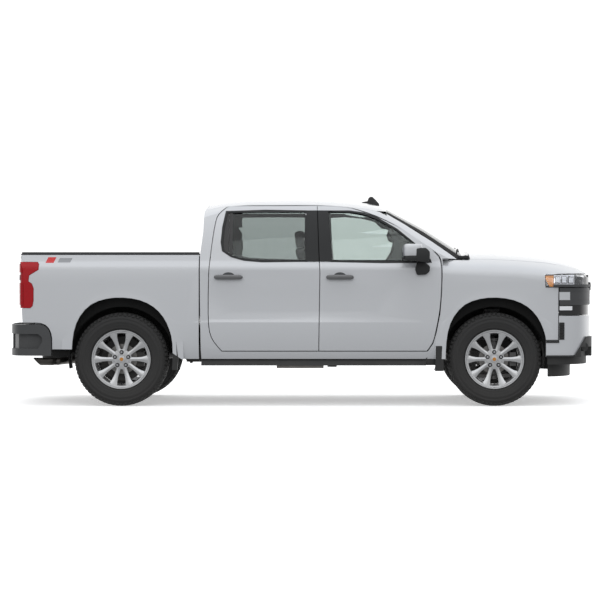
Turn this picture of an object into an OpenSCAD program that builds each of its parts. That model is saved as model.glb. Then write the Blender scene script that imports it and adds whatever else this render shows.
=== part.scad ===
// Full-size crew-cab pickup truck, built as an assembly of named pieces.
// X points forward, Y to the truck's left and Z up. The origin is on the ground,
// under the middle of the truck's outline. Lengths are millimetres.

/* [Overall size] */
// Length over both bumpers
overall_l = 5640; // [5600:10:5700]
// Distance between the axles
wheelbase = 3550; // [3530:10:3570]
// From the front axle to the nose of the front bumper
front_overhang = 985; // [975:5:995]
// Half the width over the door skins
side_half_w = 1001; // [996:1:1006]

/* [Wheels] */
// Outer diameter of a tyre
tyre_d = 889; // [880:1:892]
// Section width of a tyre
tyre_w = 275; // [265:5:280]
// Diameter over the rim's outer lip
rim_d = 562; // [550:2:570]
// Distance between the middles of the two tyres on one axle
track = 1704; // [1696:4:1708]
// Distance between the two steering axes
kingpin_track = 1664; // [1660:2:1668]
// Wheel nuts on each wheel
lug_count = 5; // [5:1:6]
// Windows between the spokes of a wheel
window_count = 10; // [8:1:12]

/* [Body] */
// Gap between neighbouring panels
seam = 8; // [7:0.5:9]
// Thickness of a door below its window
door_t = 96; // [90:2:100]
// Thickness of a door's frame round its window
frame_t = 42; // [38:1:46]
// Thickness of all fixed and door glass
glass_t = 6; // [5:0.5:8]
// Height of the load floor
bed_floor_z = 880; // [870:5:885]
// Height of the bed rails without their caps
bed_rail_z = 1437; // [1430:1:1440]
// Half the clear width of the load bed
bed_half_w = 850; // [840:5:860]

/* [Hidden] */

paint = [0.86, 0.87, 0.89];
black = [0.09, 0.09, 0.1];
grey = [0.28, 0.28, 0.29];
chassis = [0.13, 0.13, 0.14];
alloy = [0.72, 0.73, 0.75];
tint = [0.3, 0.34, 0.35, 0.6];
lens_red = [0.6, 0.04, 0.05];
lens_clear = [0.85, 0.88, 0.9];
fabric = [0.2, 0.2, 0.21];

half_l = overall_l / 2;
front_x = half_l - front_overhang;
rear_x = front_x - wheelbase;
axle_z = tyre_d / 2;
wheel_y = track / 2;
kingpin_y = kingpin_track / 2;
far = 3000;
wide = 1200;

// Gap between a hub spindle and the wheel on it.
spindle_r = 34.5;
hub_bore_r = 35;

// Cross section of the body side as [y, z], from the sill up over the belt to the roof.
side_line = [[side_half_w - 58, 430], [side_half_w - 38, 470], [side_half_w - 18, 535],
    [side_half_w - 5, 640], [side_half_w, 760], [side_half_w, 880], [side_half_w - 1, 1000],
    [side_half_w - 1, 1120], [side_half_w - 2, 1220], [side_half_w - 5, 1290],
    [side_half_w - 13, 1335], [side_half_w - 31, 1372], [side_half_w - 41, 1420],
    [side_half_w - 68, 1560], [side_half_w - 104, 1700], [side_half_w - 148, 1830],
    [side_half_w - 190, 1912], [side_half_w - 215, 1960], [side_half_w - 240, 2050]];

// Hollow above the lower crease of the doors, as [y, z].
scallop_line = [[side_half_w, 798], [side_half_w - 16, 864], [side_half_w - 17, 960],
    [side_half_w - 14, 1080], [side_half_w - 9, 1190], [side_half_w - 5, 1290]];
scallop_x0 = -1118;
scallop_x1 = 1174;
scallop_d = 18;

// Wheel arch as [x, z] from the axle, for both wheels of a side.
arch_pts = [[-470, -120], [-466, 70], [-446, 262], [-388, 410], [-282, 522], [-140, 576],
    [20, 588], [180, 564], [312, 500], [405, 402], [463, 282], [491, 150], [498, -120]];

// Top of the bonnet along the middle as [x, z], and how the body falls away to its sides.
hood_line = [[1500, 1481], [1800, 1479], [2080, 1461], [2330, 1434], [2520, 1396],
    [2660, 1348], [2745, 1296], [2800, 1236]];
hood_crown = [[0, 0], [250, -4], [450, -14], [600, -28], [720, -46], [800, -64], [870, -90],
    [930, -122], [970, -156], [996, -205], [1004, -300]];

// Top of the roof and the windscreen along the middle, and how they fall away.
roof_line = [[-892, 1950], [-760, 1978], [-500, 1997], [-40, 2003], [200, 1994], [440, 1976],
    [640, 1955], [770, 1926], [812, 1904]];
roof_crown = [[0, 0], [200, -3], [400, -13], [560, -28], [680, -48], [760, -72], [820, -104],
    [900, -170]];
screen_line = [[812, 1904], [1180, 1709], [1534, 1486]];
screen_crown = [[0, 0], [250, -6], [450, -19], [620, -40], [740, -64], [840, -96], [940, -140]];

// Plan of the nose as [x, y], at the lamps and grille, and at the bumper.
nose_plan = [[2300, 1010], [2400, 1003], [2480, 988], [2560, 956], [2640, 902], [2700, 832],
    [2742, 740], [2770, 600], [2790, 400], [2801, 200], [2804, 0]];
bumper_plan = [[2300, 1012], [2400, 1005], [2500, 991], [2590, 952], [2668, 884], [2730, 790],
    [2772, 660], [2800, 450], [2815, 220], [half_l, 0]];
tail_plan = [[-half_l, 0], [-half_l + 4, 350], [-half_l + 18, 620], [-half_l + 44, 800],
    [-half_l + 92, 920], [-half_l + 170, 982], [-half_l + 300, 1004], [-2300, 1004]];

// Door outlines as [x, z].
rear_edge = [[-755, 527], [-827, 612], [-868, 706], [-882, 877], [-878, 1240], [-863, 1422],
    [-841, 1604], [-818, 1749], [-791, 1822], [-730, 1882], [-690, 1904]];
middle_low = [160, 527];
middle_edge = [[171, 1277], [165, 1367], [143, 1908]];
front_edge = [[290, 1904], [420, 1893], [532, 1867], [713, 1803], [896, 1713], [1077, 1604],
    [1186, 1531], [1276, 1449], [1317, 1385], [1328, 1240], [1322, 1059], [1304, 877],
    [1268, 695], [1240, 600], [1190, 527]];
rear_window = [[-718, 1846], [-740, 1700], [-752, 1560], [-740, 1480], [-660, 1428], [-540, 1398],
    [-380, 1386], [41, 1382], [34, 1853], [-600, 1853]];
front_window = [[250, 1853], [268, 1600], [290, 1382], [1221, 1374], [1210, 1400], [1059, 1552],
    [896, 1680], [713, 1786], [600, 1828], [470, 1850]];

// Tail lamp seen from the side, as [x, z].
lamp_side = [[-2700, 1372], [-2508, 1370], [-2494, 1350], [-2497, 1297], [-2552, 1264],
    [-2586, 1242], [-2592, 1186], [-2560, 1165], [-2543, 1120], [-2544, 1002], [-2553, 952],
    [-2574, 933], [-2700, 933]];
tail_edge = [[-2647, 796], [-2660, 1000], [-2667, 1199], [-2668, 1350], [-2662, bed_rail_z]];

// Hinges and pivots.
door_hinge_y = side_half_w - 8;
front_hinge_x = 1270;
rear_hinge_x = 124;
tailgate_hinge = [-2638, 850];
hood_hinge = [1560, 1420];

// A smooth line through every point of a list.
function spline(p, n) = [for (i = [0:len(p) - 2], k = [0:n - 1])
    let (t = k / n, a = p[max(i - 1, 0)], b = p[i], c = p[i + 1], d = p[min(i + 2, len(p) - 1)])
    (2 * b + (c - a) * t + (2 * a - 5 * b + 4 * c - d) * t * t
        + (3 * b - a - 3 * c + d) * t * t * t) / 2, p[len(p) - 1]];
function back_to_front(p) = [for (i = [len(p) - 1:-1:0]) p[i]];
function mirrored(p) = [for (i = [1:len(p) - 1]) [-p[i][0], p[i][1]]];
function both_halves(p) = concat(p, [for (i = [len(p) - 2:-1:0]) [p[i][0], -p[i][1]]]);
function inset(p, d) = [for (q = p) [q[0] - d, q[1]]];
function moved(p, dx, dz) = [for (q = p) [q[0] + dx, q[1] + dz]];

// Prisms along each axis, from outlines in the plane across it.
module along_x(x0, x1) rotate([90, 0, 90]) translate([0, 0, x0]) linear_extrude(x1 - x0) children();
module along_y(y0, y1) translate([0, y1, 0]) rotate([90, 0, 0]) linear_extrude(y1 - y0) children();
module along_z(z0, z1) translate([0, 0, z0]) linear_extrude(z1 - z0) children();
module block(x, y, z) translate([x[0], y[0], z[0]]) cube([x[1] - x[0], y[1] - y[0], z[1] - z[0]]);
module both_sides() {
    children();
    mirror([0, 1, 0]) children();
}

// A round bar between two points.
module bar(a, b, r) {
    v = b - a;
    translate(a) rotate([0, acos(v[2] / norm(v)), atan2(v[1], v[0])]) cylinder(h = norm(v), r = r, $fn = 48);
}

// A round pipe along a list of points, with ball corners.
module pipe(p, r) {
    for (i = [0:len(p) - 2]) bar(p[i], p[i + 1], r);
    for (i = [1:len(p) - 2]) translate(p[i]) sphere(r = r + 1, $fn = 48);
}

// Everything below a crowned surface that follows a convex line.
module under_crown(line, crown, drop = 0) {
    low = -2600;
    outline = concat([[wide, low], [wide, crown[len(crown) - 1][1]]], back_to_front(crown), mirrored(crown),
        [[-wide, crown[len(crown) - 1][1]], [-wide, low]]);
    intersection_for (i = [0:len(line) - 2]) {
        a = line[i];
        b = line[i + 1];
        translate([a[0], 0, a[1]]) rotate([0, atan2(a[1] - b[1], b[0] - a[0]), 0])
            translate([0, 0, -drop]) along_x(-far, far) polygon(outline);
    }
}

// The body side as a slab from the middle plane outwards.
module side_slab(x0, x1, d = 0) along_x(x0, x1)
    polygon(concat([[0, 380]], inset(spline(side_line, 2), d), [[0, 2050]]));

// The fading hollow above the lower crease.
module scallop() intersection() {
    along_x(scallop_x0 - 50, scallop_x1 + 50)
        polygon(concat(spline(scallop_line, 2), [[wide, 1290], [wide, 798]]));
    along_z(700, 1400) polygon([[scallop_x0, wide], [scallop_x0, side_half_w + 1],
        [scallop_x0 + 140, side_half_w - 4], [scallop_x0 + 300, side_half_w - 11],
        [scallop_x0 + 480, side_half_w - scallop_d], [scallop_x1 - 480, side_half_w - scallop_d],
        [scallop_x1 - 300, side_half_w - 11], [scallop_x1 - 140, side_half_w - 4],
        [scallop_x1, side_half_w + 1], [scallop_x1, wide]]);
}

// The outside of the left body side.
module skin_slab(x0, x1) difference() {
    side_slab(x0, x1);
    scallop();
}

module arch_outline(x) translate([x, axle_z]) polygon(spline(arch_pts, 2));
module arch_hole(x, y0 = 0) along_y(y0, wide) arch_outline(x);

// The raised lip round a wheel arch, with a sloped edge.
module flare(x) hull() {
    along_y(side_half_w - 30, side_half_w - 6) offset(delta = 100) arch_outline(x);
    along_y(side_half_w - 30, side_half_w + 9) offset(delta = 26) arch_outline(x);
}

module nose_slab(plan, z0, z1, d = 0) along_z(z0, z1) polygon(both_halves(concat(
    [[1000, plan[0][1] - d * 0.7]], [for (p = spline(plan, 2)) [p[0] - d, max(p[1] - d * 0.7, 0)]])));

module door_outline_front() polygon(concat([middle_low + [seam, 0]],
    moved(middle_edge, seam, 0), spline(front_edge, 2)));
module door_outline_rear() polygon(concat([middle_low], middle_edge,
    back_to_front(spline(rear_edge, 2))));
module window_front() polygon(front_window);
module window_rear() polygon(rear_window);

// ---- Chassis ----

rail_out = 430;
rail_in = 350;
module rail() along_y(rail_in, rail_out) polygon([[2640, 640], [1330, 640], [1120, 535],
    [-1080, 535], [-1300, 740], [-2160, 740], [-2400, 700], [-2660, 700], [-2660, 590],
    [-2380, 590], [-2140, 630], [-1340, 630], [-1120, 400], [1160, 400], [1370, 510], [2640, 510]]);

receiver_x = -2700;
receiver_z = 560;
module receiver() difference() {
    block([receiver_x - 70, receiver_x + 80], [-38, 38], [receiver_z - 38, receiver_z + 38]);
    block([receiver_x - 71, receiver_x + 60], [-25.5, 25.5], [receiver_z - 25.5, receiver_z + 25.5]);
    translate([receiver_x + 20, 50, receiver_z]) rotate([90, 0, 0]) cylinder(h = 100, r = 8.1, $fn = 48);
}

module ladder_frame() color(chassis) {
    both_sides() rail();
    for (c = [[2540, 520, 630], [-820, 516, 534], [-1420, 650, 730], [-2060, 650, 730]])
        block([c[0], c[0] + 90], [-rail_in - 5, rail_in + 5], [c[1], c[2]]);
    block([-2658, -2600], [-rail_in - 5, rail_in + 5], [592, 690]);
    block([240, 330], [-rail_out, rail_out], [350, 376]);
    both_sides() block([240, 330], [rail_in, rail_out], [370, 405]);
    receiver();
    for (x = [900, -560]) both_sides() bar([x, 390, 534], [x, 390, 545], 40);
}

// ---- Running gear ----

arm_low_z = [252, 286];
arm_high_z = [616, 642];
module arm(spread, inner = rail_out - 4) difference() {
    union() {
        translate([front_x, kingpin_y]) circle(r = 34, $fn = 48);
        translate([front_x, 0]) polygon([[-26, kingpin_y], [-44, 650], [-spread, 452], [-spread, inner],
            [spread, inner], [spread, 452], [44, 650], [26, kingpin_y]]);
    }
    translate([front_x, 0]) polygon([[0, 600], [spread - 70, 480], [70 - spread, 480]]);
}

module front_suspension() color(grey) {
    both_sides() {
        along_z(arm_low_z[0], arm_low_z[1]) arm(190);
        along_z(arm_high_z[0], arm_high_z[1]) arm(130, rail_out + 1);
        for (x = [-170, 170]) block([front_x + x - 25, front_x + x + 25], [360, 430], [252, 510]);
        bar([front_x, 580, 284], [front_x, 580, 600], 30);
        bar([front_x, 580, 640], [front_x, 560, 900], 48);
        block([front_x - 70, front_x + 70], [425, 600], [895, 915]);
        block([front_x - 60, front_x + 60], [rail_in, 440], [640, 915]);
    }
    block([front_x - 190, front_x + 190], [-365, 365], [262, 330]);
    bar([front_x - 260, -380, 345], [front_x - 260, 380, 345], 30);
    for (y = [-300, 300]) block([front_x - 290, front_x - 150], [y - 30, y + 30], [300, 350]);
}

module leaf_spring() translate([rear_x, 0, 0]) {
    along_y(528, 592) polygon(concat(
        [for (i = [-10:10]) [i * 66, 512 + 0.00031 * i * i * 66 * 66]],
        [for (i = [10:-1:-10]) [i * 66, 488 + 0.00031 * i * i * 66 * 66]]));
    block([-70, 70], [520, 600], [425, 490]);
    for (x = [-660, 660]) translate([x, 602, 0]) rotate([90, 0, 0])
        translate([0, 500 + 0.00031 * 660 * 660, 0]) cylinder(h = 84, r = 26, $fn = 48);
}

module rear_axle() color(chassis) {
    bar([rear_x, -790, axle_z], [rear_x, 790, axle_z], 42);
    translate([rear_x, 0, axle_z]) sphere(r = 140, $fn = 64);
    bar([rear_x, 0, axle_z], [rear_x + 210, 0, axle_z + 12], 62);
    both_sides() {
        leaf_spring();
        bar([rear_x, 770, axle_z], [rear_x, 812, axle_z], 150);
        bar([rear_x, 800, axle_z], [rear_x, 904, axle_z], spindle_r);
        block([rear_x + 140, rear_x + 205], [770, 858], [axle_z - 70, axle_z + 70]);
        bar([rear_x - 90, 640, 430], [rear_x - 180, 620, 800], 28);
        block([rear_x - 110, rear_x - 40], [600, 660], [412, 452]);
    }
}

module engine_block() color(grey) {
    block([1640, 2260], [-250, 250], [560, 1040]);
    block([1700, 2220], [-320, 320], [820, 1180]);
    block([2300, 2340], [-420, 420], [660, 1200]);
}

module driveline() color(grey) {
    along_x(620, 1636) polygon([[-170, 420], [170, 420], [200, 560], [140, 700], [-140, 700], [-200, 560]]);
    block([380, 620], [-130, 330], [382, 536]);
    bar([640, 0, 500], [rear_x + 222, 0, axle_z + 12], 42);
    for (x = [640, rear_x + 264]) bar([x - 40, 0, axle_z + 20], [x + 40, 0, axle_z + 20], 58);
    bar([560, 210, 430], [1790, 210, 408], 22);
    block([1760, 1920], [120, 330], [336, 470]);
}

module exhaust() color(alloy) {
    pipe([[1560, -300, 520], [1100, -290, 470], [420, -270, 420], [200, -270, 420]], 32);
    translate([-260, -228, 420]) scale([1, 1.25, 1]) rotate([0, 90, 0]) cylinder(h = 460, r = 92, $fn = 64);
    pipe([[-255, -270, 420], [-1050, -270, 430], [-1290, -290, 556], [-1420, -478, 566], [-1960, -478, 566],
        [-2120, -478, 450], [-2250, -640, 424], [-2330, -850, 421],
        [-2460, -868, 421]], 34);
    difference() {
        translate([-2562, -869, 421]) rotate([0, 90, 0]) cylinder(h = 190, r = 37, $fn = 64);
        translate([-2570, -869, 421]) rotate([0, 90, 0]) cylinder(h = 110, r = 33, $fn = 64);
        translate([-2530, -960, 421]) rotate([0, -45, 0]) translate([-200, 0, -200]) cube([200, 200, 400]);
    }
}

module fuel_tank() color(black) {
    along_z(372, 530) offset(r = 50) polygon([[-800, 500], [80, 500], [80, 700], [-800, 700]]);
    for (x = [-640, -100]) block([x, x + 40], [rail_out - 5, 756], [364, 372]);
}

module spare_tyre() color(black) translate([-2262, 0, 470]) rotate_extrude($fn = 96)
    polygon(spline([[150, -70], [220, -92], [300, -86], [334, -50], [338, 0], [334, 50], [300, 86],
        [220, 92], [150, 70]], 2));

// ---- Cab ----

floor_z = [546, 586];
module cab_floor() color(grey) difference() {
    union() {
        along_y(-786, 786) polygon([[-900, 546], [1075, 546], [1345, 664], [1500, 730], [1500, 1330], [1462, 1330],
            [1462, 760], [1330, 704], [1060, 586], [-900, 586]]);
        block([340, 1470], [-235, 235], [floor_z[0], 740]);
    }
    block([339, 1520], [-210, 210], [500, 715]);
    both_sides() translate([front_x, 468, axle_z]) rotate([-90, 0, 0]) cylinder(h = 400, r = 515, $fn = 96);
}

back_line = [[-957, 540], [-964, 1000], [-966, 1430], [-938, 1660], [-932, 1850], [-908, 1926]];
cab_core = [[0, 300], [790, 300], [790, 1372], [768, 1430], [726, 1830], [700, 1868], [700, 1900],
    [772, 1900], [772, 1910], [791, 1910], [791, 2100], [0, 2100]];
module cab_outline() polygon(concat([[-757, 449], [-952, 449]], back_line, [[-880, 2060], [900, 2060], [1620, 1500],
    [1480, 1400], [1400, 1400], [1250, 527], [1180, 449]]));

module top_volume(drop = 0) intersection() {
    under_crown(roof_line, roof_crown, drop);
    under_crown(screen_line, screen_crown, drop);
}

screen_plan = [[700, 715], [812, 728], [1560, 868], [1700, 868], [1700, 0], [700, 0]];
cab_in = 112;
module door_pocket(w) difference() {
    along_y(500, wide) offset(delta = seam) union() {
        door_outline_front();
        translate([5, 0]) door_outline_front();
        door_outline_rear();
    }
    along_x(-far, far) polygon(concat([[0, 380]], [for (p = spline(side_line, 2))
        [p[0] - (p[1] < 1400 ? door_t + w : frame_t + w), p[1]]], [[0, 2050]]));
}

module cab_side() difference() {
    intersection() {
        skin_slab(-1000, 1700);
        along_y(0, wide) cab_outline();
        top_volume();
    }
    along_x(-far, far) polygon(cab_core);
    difference() {
        block([-904, 813], [0, 772], [1780, 2100]);
        top_volume(36);
    }
    along_z(1380, 2100) polygon(screen_plan);
    door_pocket(16);
    along_y(500, wide) offset(delta = -38) door_outline_front();
    along_y(500, wide) offset(delta = -38) door_outline_rear();
    block([1340 + seam, 1700], [0, wide], [300, 720]);
    block([1380, 1700], [0, wide], [719, 1386]);
    intersection() {
        along_y(868, wide) polygon(fender_side);
        block([1100, 1800], [0, wide], [300, 1404]);
    }
    along_z(1300, 1700) polygon([[1500, 0], [1500, 872], [1590, 872], [1590, wide], [1800, wide], [1800, 0]]);
}
module cab_sides() color(paint) both_sides() cab_side();

module cab_back() color(paint) difference() {
    intersection() {
        along_y(-788, 788) polygon(concat(back_line, [[-905, 1960], [-905, 1856], [-890, 1836],
            [-890, 1660], [-916, 1430], [-914, 1000], [-909, 540]]));
        both_sides() along_x(-1000, -800) polygon(cab_core);
        top_volume();
    }
    along_x(-1000, -800) offset(r = 40) square_at([0, 1640], [1180, 330]);
}
module square_at(c, s) translate([c[0] - s[0] / 2, c[1] - s[1] / 2]) square(s);

module roof_panel() color(paint) difference() {
    intersection() {
        top_volume();
        block([-904, 812], [-790, 790], [1800, 2100]);
        along_y(-791, 791) polygon([[-930, 1925], [-904, 2060], [900, 2060], [810, 1860], [-930, 1860]]);
    }
    top_volume(34);
    block([-1000, -905], [-800, 800], [1700, 2100]);
    both_sides() block([-1000, 900], [770, 800], [1700, 1917]);
}

module cab_glass() color(tint) {
    intersection() {
        difference() {
            under_crown(screen_line, screen_crown, 1);
            under_crown(screen_line, screen_crown, 1 + glass_t);
        }
        along_z(1380, 2100) polygon(both_halves([[1536, 859], [816, 724], [816, 0]]));
    }
    intersection() {
        along_y(-640, 640) polygon([[-952, 1430], [-924, 1660], [-918, 1850], [-912, 1850], [-918, 1660], [-946, 1430]]);
        along_x(-1000, -800) offset(r = 38) square_at([0, 1640], [1180, 330]);
    }
}

module cowl() color(black) difference() {
    along_y(-864, 864) polygon([[1542, 1300], [1542, 1372], [1560, 1384], [1600, 1380], [1600, 1350],
        [1570, 1350], [1556, 1300]]);
    along_y(-700, 700) polygon([[1541, 1366], [1541, 1432], [1552, 1434], [1566, 1380], [1566, 1366]]);
    for (y = [-560, 560]) translate([hood_hinge[0], 0, 0]) block([-20, 60], [y - 40, y + 40], [1380, 1450]);
}

module dashboard() color(black) {
    along_y(-780, 780) polygon(spline([[1434, 1310], [1340, 1336], [1180, 1322], [1110, 1270], [1104, 1180],
        [1150, 1080], [1210, 1000], [1300, 960], [1434, 940], [1434, 1310]], 2));
    along_y(-130, 130) polygon([[1130, 1090], [1050, 960], [1000, 880], [420, 880], [400, 745], [1250, 745]]);
}

module steering_wheel() color(black) translate([940, 405, 1215]) rotate([0, -66, 0]) {
    rotate_extrude($fn = 96) translate([180, 0]) circle(r = 15, $fn = 32);
    cylinder(h = 40, r = 62, center = true, $fn = 64);
    for (a = [90, 180, 270]) rotate([0, 0, a]) translate([40, -17, -9]) cube([132, 34, 18]);
    translate([0, 0, -190]) cylinder(h = 175, r = 30, $fn = 48);
}

// One seat: cushion, backrest and headrest as plain closed solids.
module cushion_block(x, y, z, r) along_y(y[0], y[1]) offset(r = r) square_at([(x[0] + x[1]) / 2,
    (z[0] + z[1]) / 2], [x[1] - x[0] - 2 * r, z[1] - z[0] - 2 * r]);
module seat(x, y, w) translate([x, y, 0]) {
    cushion_block([-230, 290], [-w / 2, w / 2], [790, 930], 50);
    translate([-255, 0, 940]) rotate([0, -14, 0]) cushion_block([-70, 60], [-w / 2, w / 2], [0, 600], 50);
    translate([-400, 0, 1496]) rotate([0, -8, 0]) cushion_block([-50, 50], [-135, 135], [0, 184], 40);
    block([-180, 240], [-160, 160], [floor_z[1], 784]);
}
module front_seats() color(fabric) for (y = [-405, 405]) seat(380, y, 510);

module rear_seat() color(fabric) {
    cushion_block([-640, -150], [-700, 700], [790, 930], 50);
    translate([-655, 0, 940]) rotate([0, -12, 0]) cushion_block([-60, 50], [-700, 700], [0, 590], 45);
    for (y = [-430, 0, 430]) translate([-774, y, 1536]) cushion_block([-44, 46], [-130, 130], [0, 150], 35);
    block([-620, -200], [-640, 640], [floor_z[1], 784]);
}

module antenna() color(black) difference() {
    translate([690, 0, 1955]) along_y(-22, 22)
        polygon([[-130, 4], [-104, 18], [-58, 26], [-44, 60], [-26, 70], [-4, 68], [24, 40], [60, 0],
            [64, -50], [-130, -30]]);
    top_volume();
}

// ---- Doors ----

module door_shell(outline_inset) difference() {
    intersection() {
        skin_slab(-1000, 1500);
        along_y(0, wide) offset(delta = -outline_inset) children();
    }
    along_x(-far, far) polygon(concat([[0, 380]], [for (p = spline(side_line, 2))
        [p[0] - (p[1] < 1380 ? (outline_inset > 0 ? door_t : 30) : (outline_inset > 0 ? frame_t : 18)), p[1]]],
        [[0, 2050]]));
}

module door(front) color(paint) difference() {
    union() {
        door_shell(0) if (front) door_outline_front(); else door_outline_rear();
        door_shell(16) if (front) door_outline_front(); else door_outline_rear();
    }
    along_y(0, wide) if (front) window_front(); else window_rear();
}

module door_glass(front) color(tint) intersection() {
    difference() {
        side_slab(-1000, 1500, 16);
        side_slab(-1001, 1501, 16 + glass_t);
    }
    along_y(0, wide) offset(delta = -1) if (front) window_front(); else window_rear();
}

// Door mirror, on its arm at the front corner of the window.
module mirror_housing() color(paint) difference() {
    union() {
        along_z(1288, 1532) polygon(spline([[1060, 1000], [1112, 1010], [1160, 1050], [1176, 1110], [1160, 1178],
            [1120, 1206], [1060, 1208], [1000, 1204], [972, 1190], [968, 1100], [972, 1012], [1000, 1000],
            [1060, 1000]], 2));
        along_y(940, 1060) polygon([[1056, 1252], [1150, 1250], [1218, 1282], [1190, 1376], [1110, 1376],
            [1050, 1330]]);
    }
    side_slab(800, 1500, 0);
    block([1100, 1300], [900, 1300], [1440, 1560]);
}

// ---- Front end ----

module nose_volume() under_crown(hood_line, hood_crown);
module nose_inner() under_crown([[1500, 1481], [2080, 1461], [2520, 1396], [2800, 1236]], hood_crown, 34);

hood_plan = [[1606, 846], [1900, 842], [2200, 826], [2420, 802], [2600, 764], [2690, 700], [2750, 606],
    [2774, 400], [2785, 200], [2788, 0]];
module hood_outline(d = 0) offset(delta = d) polygon(both_halves(hood_plan));

module hood() color(paint) difference() {
    intersection() {
        nose_volume();
        along_z(1150, 1600) hood_outline();
        block([1500, 2900], [-900, 900], [1254, 1600]);
    }
    difference() {
        nose_inner();
        for (y = [-560, 560]) block([1606, 1720], [y - 30, y + 30], [1390, 1500]);
    }
}

fender_side = [[1340, 1800], [1340, 1240], [1334, 1059], [1318, 877], [1282, 695], [1254, 600], [1206, 527],
    [1194, 449], [1500, 449], [2300, 631], [2436, 631], [2440, 1128], [2316, 1128], [2312, 1254],
    [2560, 1262], [2660, 1262], [2800, 1262], [2800, 1800]];
module fender() difference() {
    union() {
        intersection() {
            side_slab(1100, 2900);
            along_y(0, wide) polygon(fender_side);
            nose_volume();
            nose_slab(nose_plan, 400, 1600);
        }
        intersection() {
            flare(front_x);
            along_y(0, wide) polygon(fender_side);
        }
    }
    arch_hole(front_x);
    difference() {
        intersection() {
            nose_inner();
            side_slab(1000, 2900, 32);
            nose_slab(nose_plan, 300, 1700, 30);
        }
        intersection() {
            along_y(800, 1000) difference() {
                offset(delta = 20) arch_outline(front_x);
                arch_outline(front_x);
            }
            block([1000, 2500], [955, 1100], [449, 1300]);
        }
    }
    along_z(1000, 1700) hood_outline(seam);
    block([1000, 1610 - seam], [0, 874], [300, 1800]);
    block([1000, 1900], [0, 820], [300, 1800]);
    block([2000, 2900], [0, 690], [300, 1800]);
}
module front_fenders() color(paint) both_sides() fender();

module nose_shell(plan, z0, z1, t) difference() {
    nose_slab(plan, z0, z1);
    nose_slab(plan, z0 - 1, z1 + 1, t);
}

module headlights() color(lens_clear) both_sides() intersection() {
    nose_shell(nose_plan, 1132, 1256, 60);
    along_y(500, wide) polygon([[2320, 1134], [2440, 1134], [2440, 1132], [2900, 1132], [2900, 1248], [2316, 1248]]);
    block([2316, 2900], [690, 1010], [1100, 1300]);
    nose_volume();
}

module grille() color(black) {
    difference() {
        nose_shell(nose_plan, 866, 1248, 40);
        both_sides() block([900, 2900], [682, 1100], [1126, 1300]);
        block([900, 2444], [-1100, 1100], [800, 1300]);
        for (z = [890, 946, 1002, 1058, 1182]) block([2500, 2900], [-600, 600], [z, z + 36]);
    }
    block([2700, 2740], [-600, 600], [866, 1248]);
}

module front_bumper() color(paint) difference() {
    nose_shell(bumper_plan, 468, 858, 70);
    block([900, 2444], [-1100, 1100], [624, 900]);
    block([900, front_x + 486], [-1100, 1100], [400, 900]);
    block([2400, 2900], [-560, 560], [400, 590]);
    both_sides() block([2400, 2900], [640, 900], [400, 560]);
    for (y = [-152.4, 152.4]) translate([2700, y, 700]) rotate([0, 90, 0]) cylinder(h = 200, r = 3.5, $fn = 32);
}

module front_valance() color(black) {
    difference() {
        intersection() {
            nose_shell([for (p = bumper_plan) p - [36, 14]], 400, 588, 44);
            union() {
                block([2000, 2900], [-1100, 1100], [400, 466]);
                block([2000, 2900], [-558, 558], [400, 588]);
                both_sides() block([2000, 2900], [642, 898], [400, 558]);
            }
        }
        block([900, front_x + 500], [-1100, 1100], [300, 900]);
        for (z = [430, 490]) block([2500, 2900], [-500, 500], [z, z + 40]);
    }
    difference() {
        nose_shell([for (p = bumper_plan) p - [190, 60]], 278, 400, 30);
        block([900, front_x + 510], [-1100, 1100], [200, 900]);
    }
    both_sides() block([2644, 2724], [380, 420], [534, 580]);
    difference() {
        nose_shell([for (p = bumper_plan) p - [36, 14]], 396, 404, 190);
        block([900, front_x + 510], [-1100, 1100], [300, 900]);
    }
}

// Arch liner: a round tunnel with an inner wall, and a flange that meets the edge of the arch.
liner_r = 500;
module liner_ring(x, r) difference() {
    translate([x, axle_z]) circle(r = liner_r + 8, $fn = 96);
    translate([x, axle_z]) circle(r = r, $fn = 96);
}
module liner(x, y0, y1, wall_z) difference() {
    union() {
        along_y(y0, y1) liner_ring(x, liner_r);
        difference() {
            along_y(y0, y0 + 8) liner_ring(x, 430);
            block([x - 700, x + 700], [y0 - 1, y0 + 9], [0, wall_z]);
            block([x - 80, x + 80], [y0 - 1, y0 + 9], [850, 930]);
        }
        along_y(y1 - 10, y1) difference() {
            offset(delta = 10) arch_outline(x);
            translate([x, axle_z]) circle(r = liner_r, $fn = 96);
        }
    }
    block([x - 700, x + 700], [y0 - 1, y1 + 1], [-200, axle_z - 90]);
}

module mud_flaps() {
    along_y(740, 905) polygon([[1345, 560], [1292, 335], [1270, 335], [1322, 560]]);
    along_y(740, 905) polygon([[rear_x + 510, 620], [rear_x + 546, 340], [rear_x + 526, 340], [rear_x + 496, 560]]);
}

module wheel_liners() color(black) both_sides() {
    liner(front_x, 478, 905, axle_z + 170);
    liner(rear_x, 700, 905, axle_z + 60);
    mud_flaps();
}

module rocker_trims() color(black) both_sides() difference() {
    block([-955, 1184], [800, side_half_w - 30], [386, 445]);
    translate([0, side_half_w - 30, 380]) rotate([30, 0, 0]) block([-1000, 1200], [0, 100], [-60, 100]);
}

// ---- Bed ----

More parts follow.
